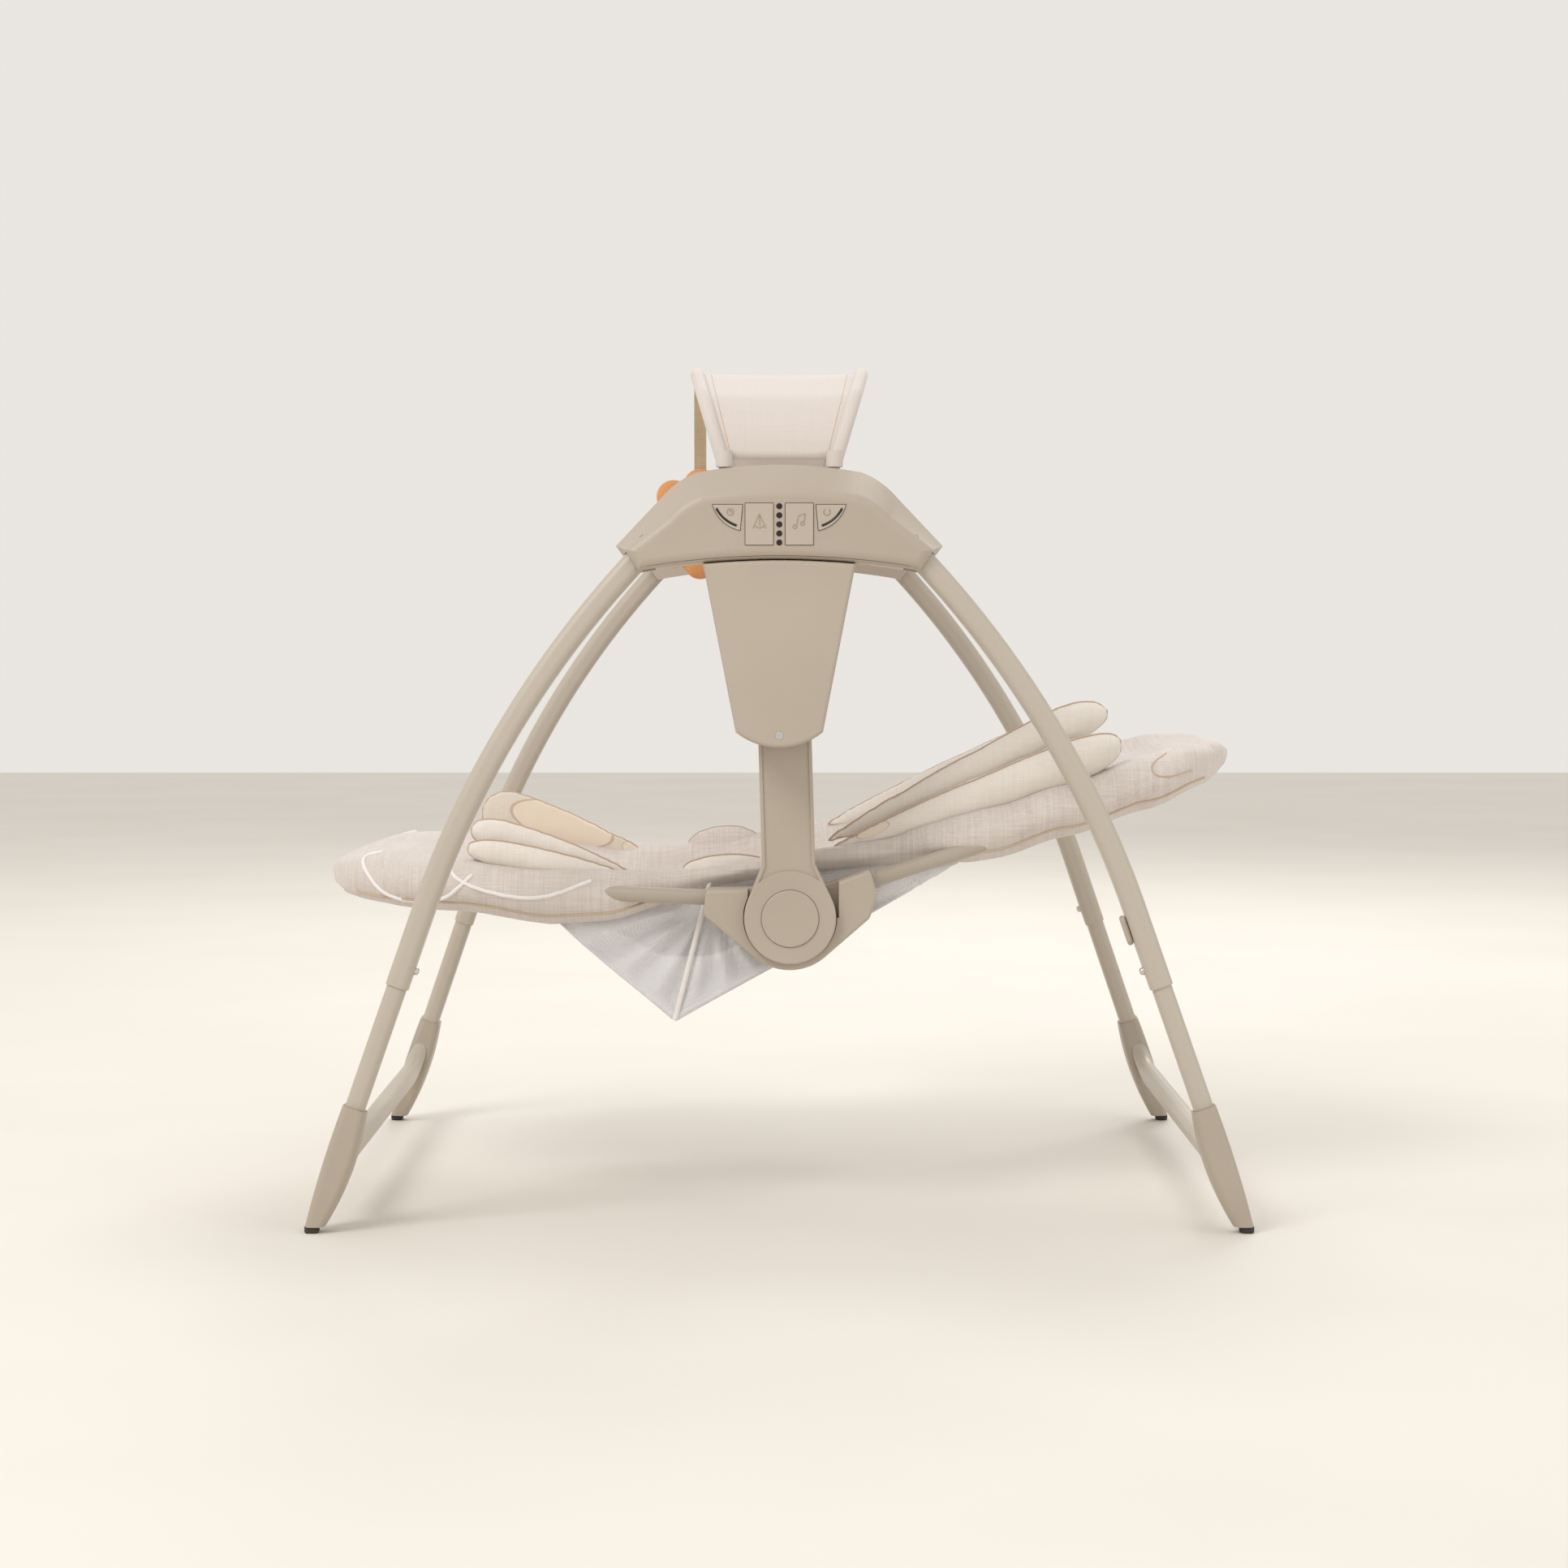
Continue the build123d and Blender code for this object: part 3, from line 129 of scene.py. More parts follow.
class Finish:
    """A material with its shader's fixed values, and patterns on what varies."""

    def __init__(self, name, **fixed):
        self.material = bpy.data.materials.new(name)
        self.material.use_nodes = True
        self.tree = self.material.node_tree
        self.shader = self.tree.nodes["Principled BSDF"]
        for key, value in fixed.items():
            socket_name = key.replace("_", " ").title().replace("Ior", "IOR")
            self.shader.inputs[socket_name].default_value = value
        self.place = self.add("TexCoord", {}, {}, "Object")

    def add(self, kind, settings, inputs, output=0):
        node = self.tree.nodes.new("ShaderNode" + kind)
        for key, value in settings.items():
            setattr(node, key, value)
        for key, value in inputs.items():
            if isinstance(value, Pattern):
                self.tree.links.new(value.socket, node.inputs[key])
            else:
                node.inputs[key].default_value = value
        return Pattern(self, node.outputs[output])

    def stretched(self, x, y, z):
        """Object coordinates, drawn out or pressed together along each axis."""
        return self.add("Mapping", {}, {"Vector": self.place, "Scale": (x, y, z)})

    def along(self, axis):
        return self.add("SeparateXYZ", {}, {0: self.place}, axis)

    def noise(self, vector, scale, detail=2.0):
        return self.add("TexNoise", {}, {"Vector": vector, "Scale": scale, "Detail": detail})

    def mix(self, first, second, factor):
        """Colour from first to second."""
        node = self.tree.nodes.new("ShaderNodeMix")
        node.data_type = "RGBA"
        for index, value in ((6, first), (7, second), (0, factor)):
            if isinstance(value, Pattern):
                self.tree.links.new(value.socket, node.inputs[index])
            else:
                node.inputs[index].default_value = (*value, 1) if index else value
        return Pattern(self, node.outputs[2])

    def feed(self, key, pattern):
        self.tree.links.new(pattern.socket, self.shader.inputs[key])

    def bump(self, height, depth, strength=0.6):
        """Relief of a given depth, in metres."""
        self.feed("Normal", self.add(
            "Bump", {}, {"Strength": strength, "Distance": depth, "Height": height}, "Normal"))


def linear(red, green, blue):
    """A screen colour, 0 to 255, as the linear colour that the shader wants."""
    return tuple(((c / 255 + 0.055) / 1.055) ** 2.4 for c in (red, green, blue))


print("shader sums ready")

# %% [markdown]
# ## Hard finishes
# The housings are warm taupe injection-moulded plastic with a fine spark-eroded grain. The
# legs are painted tube, smoother and a little glossier. Both vary slightly in tone and
# gloss, because a perfectly even surface looks computed.

# %% Hard finishes
taupe = linear(188, 177, 163)
taupe_deep = linear(175, 163, 148)


def moulded(name, colour, shade, rough, grain=0.00012):
    """Moulded plastic: cloudy tone, a fine grain, and gloss that wanders."""
    clouds_per_metre, grains_per_metre = 9.0, 1500.0
    finish = Finish(name, specular_ior_level=0.45)
    cloud = finish.noise(finish.place, clouds_per_metre)
    speckle = finish.noise(finish.place, grains_per_metre, 3.0)
    finish.feed("Base Color", finish.mix(shade, colour, (cloud * 0.7 + speckle * 0.3 - 0.2) * 1.5))
    finish.feed("Roughness", rough + cloud * 0.1 + speckle * 0.08 - 0.09)
    finish.bump(speckle, grain)
    return finish.material


def painted(name, colour, shade, rough):
    """Powder-coated tube: a faint orange peel under a clear gloss."""
    ripples_per_metre, ripple_depth = 420.0, 0.00008
    finish = Finish(name, coat_weight=0.25, coat_roughness=0.4)
    peel = finish.noise(finish.place, ripples_per_metre)
    cloud = finish.noise(finish.stretched(8, 8, 2), 1.0)
    finish.feed("Base Color", finish.mix(shade, colour, cloud * 0.8 + peel * 0.2))
    finish.feed("Roughness", rough + peel * 0.12 - 0.06)
    finish.bump(peel, ripple_depth)
    return finish.material


def steel(name, colour, rough):
    """Bright metal with fine turning marks."""
    marks_per_metre, mark_depth = 420.0, 0.00004
    finish = Finish(name, metallic=1.0)
    marks = finish.noise(finish.stretched(1, 1, 14), marks_per_metre)
    finish.feed("Base Color", finish.mix(tuple(c * 0.8 for c in colour), colour, marks))
    finish.feed("Roughness", rough + marks * 0.14 - 0.07)
    finish.bump(marks, mark_depth)
    return finish.material


housing = moulded("housing_plastic", taupe, taupe_deep, 0.42)
key_plastic = moulded("key_plastic", linear(194, 184, 170), linear(182, 171, 156), 0.38)
boot_plastic = moulded("boot_plastic", linear(184, 173, 158), linear(170, 158, 143), 0.46)
tube_paint = painted("tube_paint", linear(194, 185, 171), linear(180, 170, 155), 0.42)
seat_tube_paint = painted("seat_tube_paint", linear(184, 174, 159), linear(167, 156, 141), 0.42)
rubber = moulded("tip_rubber", linear(72, 64, 62), linear(48, 43, 42), 0.72, 0.0003)
window_black = moulded("window_black", linear(38, 34, 34), linear(24, 22, 22), 0.2, 0.00002)
board_green = moulded("board_green", linear(40, 96, 60), linear(24, 70, 44), 0.4)
speaker_black = moulded("speaker_black", linear(40, 40, 42), linear(24, 24, 26), 0.6)
cell_wrap = moulded("cell_wrap", linear(60, 62, 68), linear(36, 38, 44), 0.3)
buckle_plastic = moulded("buckle_plastic", linear(206, 198, 184), linear(192, 183, 168), 0.35)
bright_steel = steel("bright_steel", (0.72, 0.71, 0.69), 0.26)
copper = steel("copper_wire", (0.72, 0.38, 0.2), 0.35)
print("hard finishes:", len(bpy.data.materials))

# %% [markdown]
# ## Which finish goes where
# Each CAD piece keeps its mesh and gets one finish. A piece's name says what it is, so a
# short table of words is enough.

# %% Dress the CAD pieces
finish_by_word = (
    ("upper_tube", tube_paint),
    ("lower_tube", tube_paint),
    ("boot", boot_plastic),
    ("rubber", rubber),
    ("snap_button", bright_steel),
    ("battery_screw", bright_steel),
    ("pins", bright_steel),
    ("magnet", bright_steel),
    ("coil", copper),
    ("batteries", cell_wrap),
    ("lights", window_black),
    ("board", board_green),
    ("speaker", speaker_black),
    ("buckle", buckle_plastic),
    ("seat_loop", seat_tube_paint),
    ("arch_rods", seat_tube_paint),
    ("_button", key_plastic),
)


def finish_for(name):
    for word, material in finish_by_word:
        if word in name:
            return material
    return housing


for name, node in nodes.items():
    node.data.materials.clear()
    node.data.materials.append(finish_for(name))
print("dressed:", len(nodes), "CAD pieces")

# %% [markdown]
# ## Fabric finishes
# The seat is covered in a slubby linen look: uneven threads in both directions, pale with a
# hint of pink. The wings are a smooth cream knit, some with printed peach spots. The sling
# is an open mesh, so its colour stays white and its alpha lets the light through.


# %% Fabric finishes
spot_outline = linear(176, 142, 116)


def woven(name, colour, shade, thread=1.0, relief=0.0004, spots=(), spot_colour=None):
    """Cloth with uneven threads, and printed ovals.

    Each spot is its x, z, half length, half height and tilt.
    """
    warps_per_metre, wefts_per_metre, clouds_per_metre = 700 * thread, 900 * thread, 14.0
    finish = Finish(name, sheen_weight=0.25, sheen_roughness=0.5, specular_ior_level=0.2)
    warp = finish.noise(finish.stretched(18, warps_per_metre, warps_per_metre), 1.0, 2.0)
    weft = finish.noise(finish.stretched(wefts_per_metre, 26, 26), 1.0, 2.0)
    cloud = finish.noise(finish.place, clouds_per_metre)
    threads = warp * 0.5 + weft * 0.5
    tone = (threads - 0.5) * 1.7 + 0.35 + cloud * 0.3
    colour_here = finish.mix(shade, colour, tone)
    for x, z, half_length, half_height, tilt in spots:
        across, up = finish.along("X") - x, finish.along("Z") - z
        turned = across * math.cos(tilt) + up * math.sin(tilt)
        lifted = up * math.cos(tilt) - across * math.sin(tilt)
        reach = ((turned / half_length) ** 2 + (lifted / half_height) ** 2).root()
        ring = (reach - 1).size().below(0.03, 0.02)
        inner = finish.mix(colour_here, spot_colour, reach.below(1, 0.02) * 0.7)
        colour_here = finish.mix(inner, spot_outline, ring * 0.6)
    finish.feed("Base Color", colour_here)
    finish.feed("Roughness", 0.9 + threads * 0.1 - 0.05)
    finish.bump(threads, relief)
    return finish.material


linen = woven("seat_linen", linear(224, 217, 212), linear(192, 180, 172))
cream = woven("wing_cream", linear(236, 231, 224), linear(219, 211, 202), thread=1.6, relief=0.0002)
peach = linear(230, 212, 192)
foot_spots = ((-0.194, 0.2885, 0.047, 0.0165, -0.30), (-0.128, 0.263, 0.014, 0.006, -0.55))
tan_spotted = woven(
    "wing_tan_spotted", linear(224, 214, 201), linear(208, 196, 182), thread=1.6, relief=0.0002,
    spots=foot_spots, spot_colour=peach)
head_spots = ((0.075, 0.302, 0.014, 0.0045, 0.42), (0.074, 0.314, 0.013, 0.0045, 0.5))
cream_spotted = woven(
    "wing_cream_spotted", linear(236, 231, 224), linear(219, 211, 202), thread=1.6, relief=0.0002,
    spots=head_spots, spot_colour=peach)
piping_brown = woven("piping_brown", linear(198, 176, 156), linear(178, 152, 130), thread=2.0)
piping_tan = woven("piping_tan", linear(205, 186, 164), linear(184, 162, 138), thread=2.0)
ribbon_white = woven("ribbon_white", linear(243, 240, 238), linear(230, 226, 224), thread=2.4)
canopy_cloth = woven(
    "canopy_cloth", linear(217, 209, 204), linear(207, 198, 192), thread=2.0, relief=0.0001)
webbing = woven(
    "harness_webbing", linear(214, 205, 194), linear(190, 178, 164), thread=1.2, relief=0.0006)
orange_plush = woven(
    "petal_plush", linear(228, 164, 108), linear(205, 136, 84), thread=2.0, relief=0.001)
tan_plush = woven(
    "core_plush", linear(196, 178, 148), linear(172, 152, 122), thread=2.0, relief=0.001)


def net(name):
    """Open white mesh: rows of small round holes."""
    finish = Finish(name, roughness=0.8, sheen_weight=0.2)
    finish.shader.inputs["Base Color"].default_value = (*linear(250, 250, 253), 1)
    hole_spacing, hole_depth = 0.0022, 0.0003
    pitch = 2 * math.pi / hole_spacing
    rows = (finish.along("X") * pitch).sine()
    columns = ((finish.along("Z") + finish.along("Y")) * pitch).sine()
    holes = rows * columns
    folds = finish.noise(finish.stretched(22, 22, 9), 1.0)
    finish.feed("Alpha", 0.36 + folds * 0.36 - holes.size() * 0.16)
    finish.bump(holes, hole_depth)
    return finish.material


sling_net = net("sling_net")
print("finishes in all:", len(bpy.data.materials))

# %% [markdown]
# ## Tools for soft pieces
# A soft piece starts as a flat grid whose points are moved to where the cloth lies. A grid
# keeps even quads, so it bends smoothly, and its edges can be sewn by merging points.


# %% Tools for soft pieces
def deselect():
    bpy.ops.object.select_all(action="DESELECT")


def only(piece):
    """Selects one piece and makes it active."""
    deselect()
    piece.select_set(True)
    bpy.context.view_layer.objects.active = piece


def cloth_grid(name, columns, rows, place, material):
    """A grid whose point at (u, v), each 0 to 1, is moved to place(u, v)."""
    deselect()
    bpy.ops.mesh.primitive_grid_add(x_subdivisions=columns, y_subdivisions=rows, size=1)
    piece = bpy.context.object
    piece.name = name
    for vertex in piece.data.vertices:
        vertex.co = place(vertex.co.x + 0.5, vertex.co.y + 0.5)
    piece.data.materials.append(material)
    return piece


def sew(piece, reach):
    """Merges the points that meet, and turns the faces outwards."""
    only(piece)
    bpy.ops.object.mode_set(mode="EDIT")
    bpy.ops.mesh.select_all(action="SELECT")
    bpy.ops.mesh.remove_doubles(threshold=reach)
    bpy.ops.mesh.normals_make_consistent(inside=False)
    bpy.ops.object.mode_set(mode="OBJECT")
    bpy.ops.object.shade_smooth()
    return piece


def modify(piece, kind, **settings):
    """Adds one modifier and applies it."""
    only(piece)
    modifier = piece.modifiers.new(kind.lower(), kind)
    for key, value in settings.items():
        setattr(modifier, key, value)
    bpy.ops.object.modifier_apply(modifier=modifier.name)


def join(pieces, name):
    """Several meshes as one."""
    deselect()
    for piece in pieces:
        piece.select_set(True)
    bpy.context.view_layer.objects.active = pieces[0]
    bpy.ops.object.join()
    pieces[0].name = name
    return pieces[0]


def clamp(value):
    return min(max(value, 0), 1)


def smoothstep(value):
    value = clamp(value)
    return value * value * (3 - 2 * value)


def between(table, x):
    """The values at x in a table of rows (x, values...), with smooth changes between rows."""
    for low, high in zip(table, table[1:]):
        if x <= high[0]:
            part = (x - low[0]) / (high[0] - low[0])
            share = smoothstep(part) * 0.5 + clamp(part) * 0.5
            return [a + (b - a) * share for a, b in zip(low[1:], high[1:])]
    return list(table[-1][1:])


def cord_tube(name, points, radius, material, closed=False):
    """A thin tube along a line of points."""
    curve = bpy.data.curves.new(name, "CURVE")
    curve.dimensions = "3D"
    curve.bevel_depth = radius
    curve.bevel_resolution = 2
    spline = curve.splines.new("POLY")
    spline.points.add(len(points) - 1)
    for spot, point in zip(spline.points, points):
        spot.co = (*point, 1)
    spline.use_cyclic_u = closed
    curve.use_fill_caps = not closed
    piece = bpy.data.objects.new(name, curve)
    bpy.context.scene.collection.objects.link(piece)
    only(piece)
    bpy.ops.object.convert(target="MESH")
    piece = bpy.context.object
    piece.name = name
    piece.data.materials.clear()
    piece.data.materials.append(material)
    bpy.ops.object.shade_smooth()
    return piece


settling_frames = 20


def settle(piece, pressure, cap, voxel):
    """Blows a closed piece up as cloth, lets no point move further than cap, and smooths it."""
    modify(piece, "REMESH", mode="VOXEL", voxel_size=voxel)
    before = [v.co.copy() for v in piece.data.vertices]
    cloth = piece.modifiers.new("cloth", "CLOTH")
    cloth.settings.use_pressure = True
    cloth.settings.uniform_pressure_force = pressure
    cloth.settings.effector_weights.gravity = 0
    cloth.settings.quality = 5
    scene = bpy.context.scene
    for number in range(1, settling_frames + 1):
        scene.frame_set(number)
    only(piece)
    bpy.ops.object.modifier_apply(modifier="cloth")
    for vertex, start in zip(piece.data.vertices, before):
        step = vertex.co - start
        if step.length > cap:
            vertex.co = start + step * (cap / step.length)
    scene.frame_set(1)
    modify(piece, "SMOOTH", factor=0.5, iterations=2)
    modify(piece, "SUBSURF", levels=1, render_levels=1)
    bpy.ops.object.shade_smooth()


print("tools for soft pieces ready")

# %% [markdown]
# ## The seat liner
# One padded cloth runs from the foot tip to the head tip. Its edge is a thick roll that
# hides the seat tube, and its middle dips into a deep hollow under the baby. It is drawn as
# a row of cross-sections: each has a half width, the height and thickness of the edge roll,
# and the height of the middle.

# %% Seat liner
tip_padding = 0.007  # how far the cloth reaches past the pads
seat_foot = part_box("foot_pad")[0].x - tip_padding
seat_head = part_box("head_pad")[1].x + tip_padding
roll_table = (  # along the seat: x, roll height, roll half thickness, middle height
    (-0.374, 0.2620, 0.0190, 0.2790),
    (-0.340, 0.2620, 0.0205, 0.2800),
    (-0.255, 0.2575, 0.0195, 0.2740),
    (-0.186, 0.2500, 0.0210, 0.2610),
    (-0.137, 0.2500, 0.0185, 0.2380),
    (-0.095, 0.2560, 0.0120, 0.2130),
    (-0.060, 0.2660, 0.0075, 0.2110),
    (-0.020, 0.2715, 0.0065, 0.2240),
    (0.028, 0.2780, 0.0068, 0.2440),
    (0.085, 0.2840, 0.0085, 0.2700),
    (0.119, 0.2925, 0.0125, 0.2860),
    (0.150, 0.2960, 0.0175, 0.2970),
    (0.173, 0.3010, 0.0190, 0.3070),
    (0.230, 0.3190, 0.0195, 0.3280),
    (0.297, 0.3405, 0.0200, 0.3520),
    (0.340, 0.3540, 0.0195, 0.3660),
    (0.374, 0.3620, 0.0190, 0.3720),
)
waist_table = (  # along the seat: x, half width
    (-0.36, 0.186), (-0.140, 0.186), (-0.085, 0.1685),
    (0.095, 0.1685), (0.150, 0.186), (0.36, 0.186),
)
petal_start = 0.170
foot_bluntness, head_bluntness = 3.8, 4.2


def tip_share(x):
    """0 where an end of the seat starts to round off, 1 at its tip."""
    tip_x = seat_head if x > 0 else -seat_foot
    return clamp((abs(x) - petal_start) / (tip_x - petal_start))


def liner_half_width(x):
    bluntness = head_bluntness if x > 0 else foot_bluntness
    return between(waist_table, x)[0] * math.sqrt(max(1 - tip_share(x) ** bluntness, 0))


def liner_section(x):
    """Half width, roll height, roll half thickness and middle height, closing at the tips."""
    height, thick, middle = between(roll_table, x)
    closing = math.sqrt(max(1 - tip_share(x) ** 7, 0))
    return liner_half_width(x), height, thick * closing, height + (middle - height) * closing


rumple_height, rumple_turn = 0.0012, 180  # low waves: metres, and radians for each metre
flat_share = 0.42  # how much of the half width lies flat before the roll rises
narrowest_roll = 0.0105


def roll_reach(thick):
    """Half width of an edge roll, which is a little wider than it is thick."""
    return max(1.15 * thick, narrowest_roll)


def rise_to_roll(y, inner):
    """0 over the flat middle, 1 where the roll starts."""
    return smoothstep((abs(y) / max(inner, 0.0001) - flat_share) / (1 - flat_share))


def liner_point(u, v):
    """u runs round a cross-section, from the near edge over the top; v from foot to head."""
    middle_x = (seat_head + seat_foot) / 2
    x = middle_x - (seat_head - seat_foot) / 2 * math.cos(math.pi * v)
    half, height, thick, middle = liner_section(x)
    turn = 2 * math.pi * u
    roll_width = min(roll_reach(thick), half * 0.45)
    inner = max(half - roll_width, 0)
    if math.cos(turn) ** 2 > 0.5:  # the two rolls
        side = -1 if math.cos(turn) > 0 else 1
        bend = turn if side < 0 else turn - math.pi
        bend = (bend + math.pi) % (2 * math.pi) - math.pi
        bend *= 2
        y = side * (inner + roll_width * math.cos(bend))
        rise = math.sin(bend) if side < 0 else -math.sin(bend)
        z = height + thick * rise
    else:  # the top and the underside between them
        upper = math.sin(turn) > 0
        share = ((turn % math.pi) - math.pi / 4) / (math.pi / 2)
        share = share if upper else 1 - share
        y = inner * (2 * share - 1)
        edge = rise_to_roll(y, inner)
        padding = 0.014 + 0.5 * thick * (1 - edge)
        top = middle + (height + thick - middle) * edge
        top += rumple_height * math.sin(rumple_turn * x) * (1 - edge) * min(half / 0.1, 1)
        low = middle - padding + (height - thick - middle + padding) * edge
        z = top if upper else low
    if half < 0.0005:
        z = height
    return Vector((x, y, z))


liner = cloth_grid("seat_liner", 96, 150, liner_point, linen)
sew(liner, 0.0002)
settle(liner, pressure=1.2, cap=0.003, voxel=0.0062)
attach(liner, "seat")
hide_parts("foot_pad", "head_pad", "seat_trough")
print("seat liner:", len(liner.data.polygons), "faces")

# %% [markdown]
# ## Piping under the rolls, and embroidered ribbons
# A tan cord is sewn along the underside of the liner's edge. On both sides, white satin
# ribbons are laid in arcs over its foot end, and a finer tan arc is stitched on its head end.

# %% Piping and ribbons
def on_cloth(piece, point, lift):
    """The nearest point on a soft piece, lifted off its surface."""
    _, spot, normal, _ = piece.closest_point_on_mesh(point)
    return spot + normal * lift


def on_roll(side, x, degrees, lift):
    """A point on the liner's roll: 0 degrees faces outwards, 90 faces up."""
    half, height, thick, _ = liner_section(x)
    bend = math.radians(degrees)
    wide = roll_reach(thick)
    y = side * (half - wide + wide * math.cos(bend))
    return on_cloth(liner, Vector((x, y, height + thick * math.sin(bend))), lift)


def smooth_line(corners, steps=12):
    """A smooth line of points through a few corners."""
    padded = [corners[0], *corners, corners[-1]]
    line = []
    for a, b, c, d in zip(padded, padded[1:], padded[2:], padded[3:]):
        for i in range(steps):
            t = i / steps
            line.append(tuple(
                q + 0.5 * t * (r - p + t * (2 * p - 5 * q + 4 * r - n + t * (3 * (q - r) + n - p)))
                for p, q, r, n in zip(a, b, c, d)))
    return line + [corners[-1]]


piping_degrees = -48  # below the roll's widest line
piping_ends = {"foot": (-0.345, -0.085), "head": (0.150, 0.345)}
for side, side_name in ((-1, "near"), (1, "far")):
    for end, (first, last) in piping_ends.items():
        stops = [first + (last - first) * i / 60 for i in range(61)]
        edge = [on_roll(side, x, piping_degrees, 0.0004) for x in stops]
        cord = cord_tube(f"liner_piping_{end}_{side_name}", edge, 0.0010, piping_tan)
        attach(cord, "seat")

ribbon_paths = {  # corners as x and degrees round the roll
    "foot_tip": ((-0.322, 118), (-0.334, 90), (-0.339, 55), (-0.334, 15), (-0.320, -30),
                 (-0.298, -52), (-0.272, -38), (-0.256, 0), (-0.245, 38)),
    "foot_side": ((-0.264, 55), (-0.256, 22), (-0.236, 0), (-0.205, -6), (-0.176, 12),
                  (-0.150, 50)),
    "head_side": ((0.312, 100), (0.303, 74), (0.298, 45), (0.302, 18), (0.316, 0), (0.333, -8)),
}
for name, corners in ribbon_paths.items():
    stitched = name.startswith("head")
    radius, cloth = (0.0006, piping_tan) if stitched else (0.0016, ribbon_white)
    for side, side_name in ((-1, "near"), (1, "far")):
        points = [on_roll(side, x, degrees, 0.0002) for x, degrees in smooth_line(corners)]
        ribbon = cord_tube(f"ribbon_{name}_{side_name}", points, radius, cloth)
        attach(ribbon, "seat")
print("ribbons:", 2 * len(ribbon_paths))

# %% [markdown]
# ## Wings and hip rolls
# The wings are leaf-shaped cushions sewn round a curved seam, with piping in that seam.
# A leaf is drawn along its spine: how far its edge stands above and below the spine, and
# how fat it is. Its cross-section is a soft lens.


# %% Wings
def leaf(name, root, tip, lean, above, below, fat, material, fullest=0.78):
    """A leaf cushion with its piping. lean is the way its upper edge points."""
    root, tip = Vector(root), Vector(tip)
    spine = tip - root
    up = Vector(lean)
    up = (up - spine.normalized() * up.dot(spine.normalized())).normalized()
    side = spine.normalized().cross(up)

    def profile(v):
        if v < fullest:
            swell = math.sin(math.pi / 2 * v / fullest) ** 0.75
        else:
            swell = math.sqrt(max(1 - ((v - fullest) / (1 - fullest)) ** 2.6, 0))
        return swell, spine * v + root

    def place(u, v):
        swell, middle = profile(v)
        turn = 2 * math.pi * u
        reach = above if math.cos(turn) > 0 else below
        lens = math.copysign(abs(math.sin(turn)) ** 0.8, math.sin(turn))
        pucker = 1 + 0.04 * math.sin(46 * v + 3 * math.cos(turn))
        rise, bulge = reach * swell * math.cos(turn), fat / 2 * swell * lens * pucker
        return middle + up * rise + side * bulge

    cushion = sew(cloth_grid(name, 32, 48, place, material), 0.0002)
    settle(cushion, pressure=3.0, cap=0.004, voxel=0.004)
    seam = []
    steps = 60
    for i in range(steps + 1):
        swell, middle = profile(i / steps)
        seam.append(on_cloth(cushion, middle + up * above * swell, 0.0002))
    for i in range(steps - 1, 0, -1):
        swell, middle = profile(i / steps)
        seam.append(on_cloth(cushion, middle - up * below * swell, 0.0002))
    piping = cord_tube(name + "_piping", seam, 0.0008, piping_brown, closed=True)
    return cushion, piping


def add_wing(name, node, *shape, **more):
    cushion, piping = leaf(name, *shape, **more)
    for piece in (cushion, piping):
        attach(piece, "seat")
    if node:
        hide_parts(node)
    print(name, len(cushion.data.polygons), "faces")


add_wing("foot_wing_near_upper", "foot_wing_near", (-0.112, -0.132, 0.262), (-0.250, -0.142, 0.303),
         (0, -0.15, 1), 0.014, 0.012, 0.020, cream)
add_wing("foot_wing_near_lower", None, (-0.110, -0.150, 0.262), (-0.252, -0.162, 0.288),
         (0, -0.35, 1), 0.012, 0.010, 0.020, cream)
add_wing("foot_wing_far_cushion", "foot_wing_far", (-0.104, 0.140, 0.252), (-0.268, 0.146, 0.302),
         (0, 0.2, 1), 0.024, 0.020, 0.018, tan_spotted)
add_wing("head_wing_near_upper_cushion", "head_wing_near_upper", (0.030, -0.134, 0.286),
         (0.267, -0.140, 0.398), (0, -0.35, 1), 0.023, 0.014, 0.020, cream)
add_wing("head_wing_near_lower_cushion", "head_wing_near_lower", (0.032, -0.150, 0.283),
         (0.276, -0.160, 0.375), (0, -0.45, 1), 0.017, 0.022, 0.024, cream_spotted)
add_wing("head_wing_far_cushion", "head_wing_far", (0.034, 0.142, 0.283), (0.262, 0.152, 0.374),
         (0, 0.4, 1), 0.018, 0.022, 0.024, cream)
add_wing("foot_wing_far_outer", None, (-0.108, 0.158, 0.256), (-0.254, 0.168, 0.284),
         (0, 0.5, 1), 0.012, 0.010, 0.020, cream)
add_wing("head_wing_far_outer", None, (0.036, 0.160, 0.281), (0.268, 0.172, 0.355),
         (0, 0.6, 1), 0.014, 0.014, 0.022, cream)
add_wing("hip_roll_near", "hip_bolster_near", (-0.008, -0.150, 0.277), (-0.080, -0.152, 0.269),
         (0, -0.3, 1), 0.010, 0.009, 0.018, cream, fullest=0.5)
add_wing("hip_roll_far", "hip_bolster_far", (-0.010, 0.148, 0.272), (-0.084, 0.150, 0.264),
         (0, 0.2, 1), 0.018, 0.016, 0.020, linen, fullest=0.5)

# %% [markdown]
# ## The mesh sling
# A wide strip of net hangs from the seat's rim and folds along a low line, and a triangle
# of net closes each side. The sides fold towards the recline bracket, where the load goes.

# %% Mesh sling
sling_low_corner, sling_high_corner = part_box("mesh_sling")
sling_foot_x, sling_head_x = sling_low_corner.x + 0.022, sling_high_corner.x - 0.018
sling_fold_x, sling_fold_z = -0.084, sling_low_corner.z + 0.0005
sling_half = sling_high_corner.y - 0.001
bracket_x, bracket_z = -0.055, 0.246  # where the side folds meet
sling_slack, waves_across, wavy_half = 0.003, 26, 0.158
fold_depth, folds_per_radian = 0.0045, 17


def sling_rim(x):
    """Height of the sling's sewn edge."""
    _, height, thick, _ = liner_section(x)
    return height - 0.45 * thick


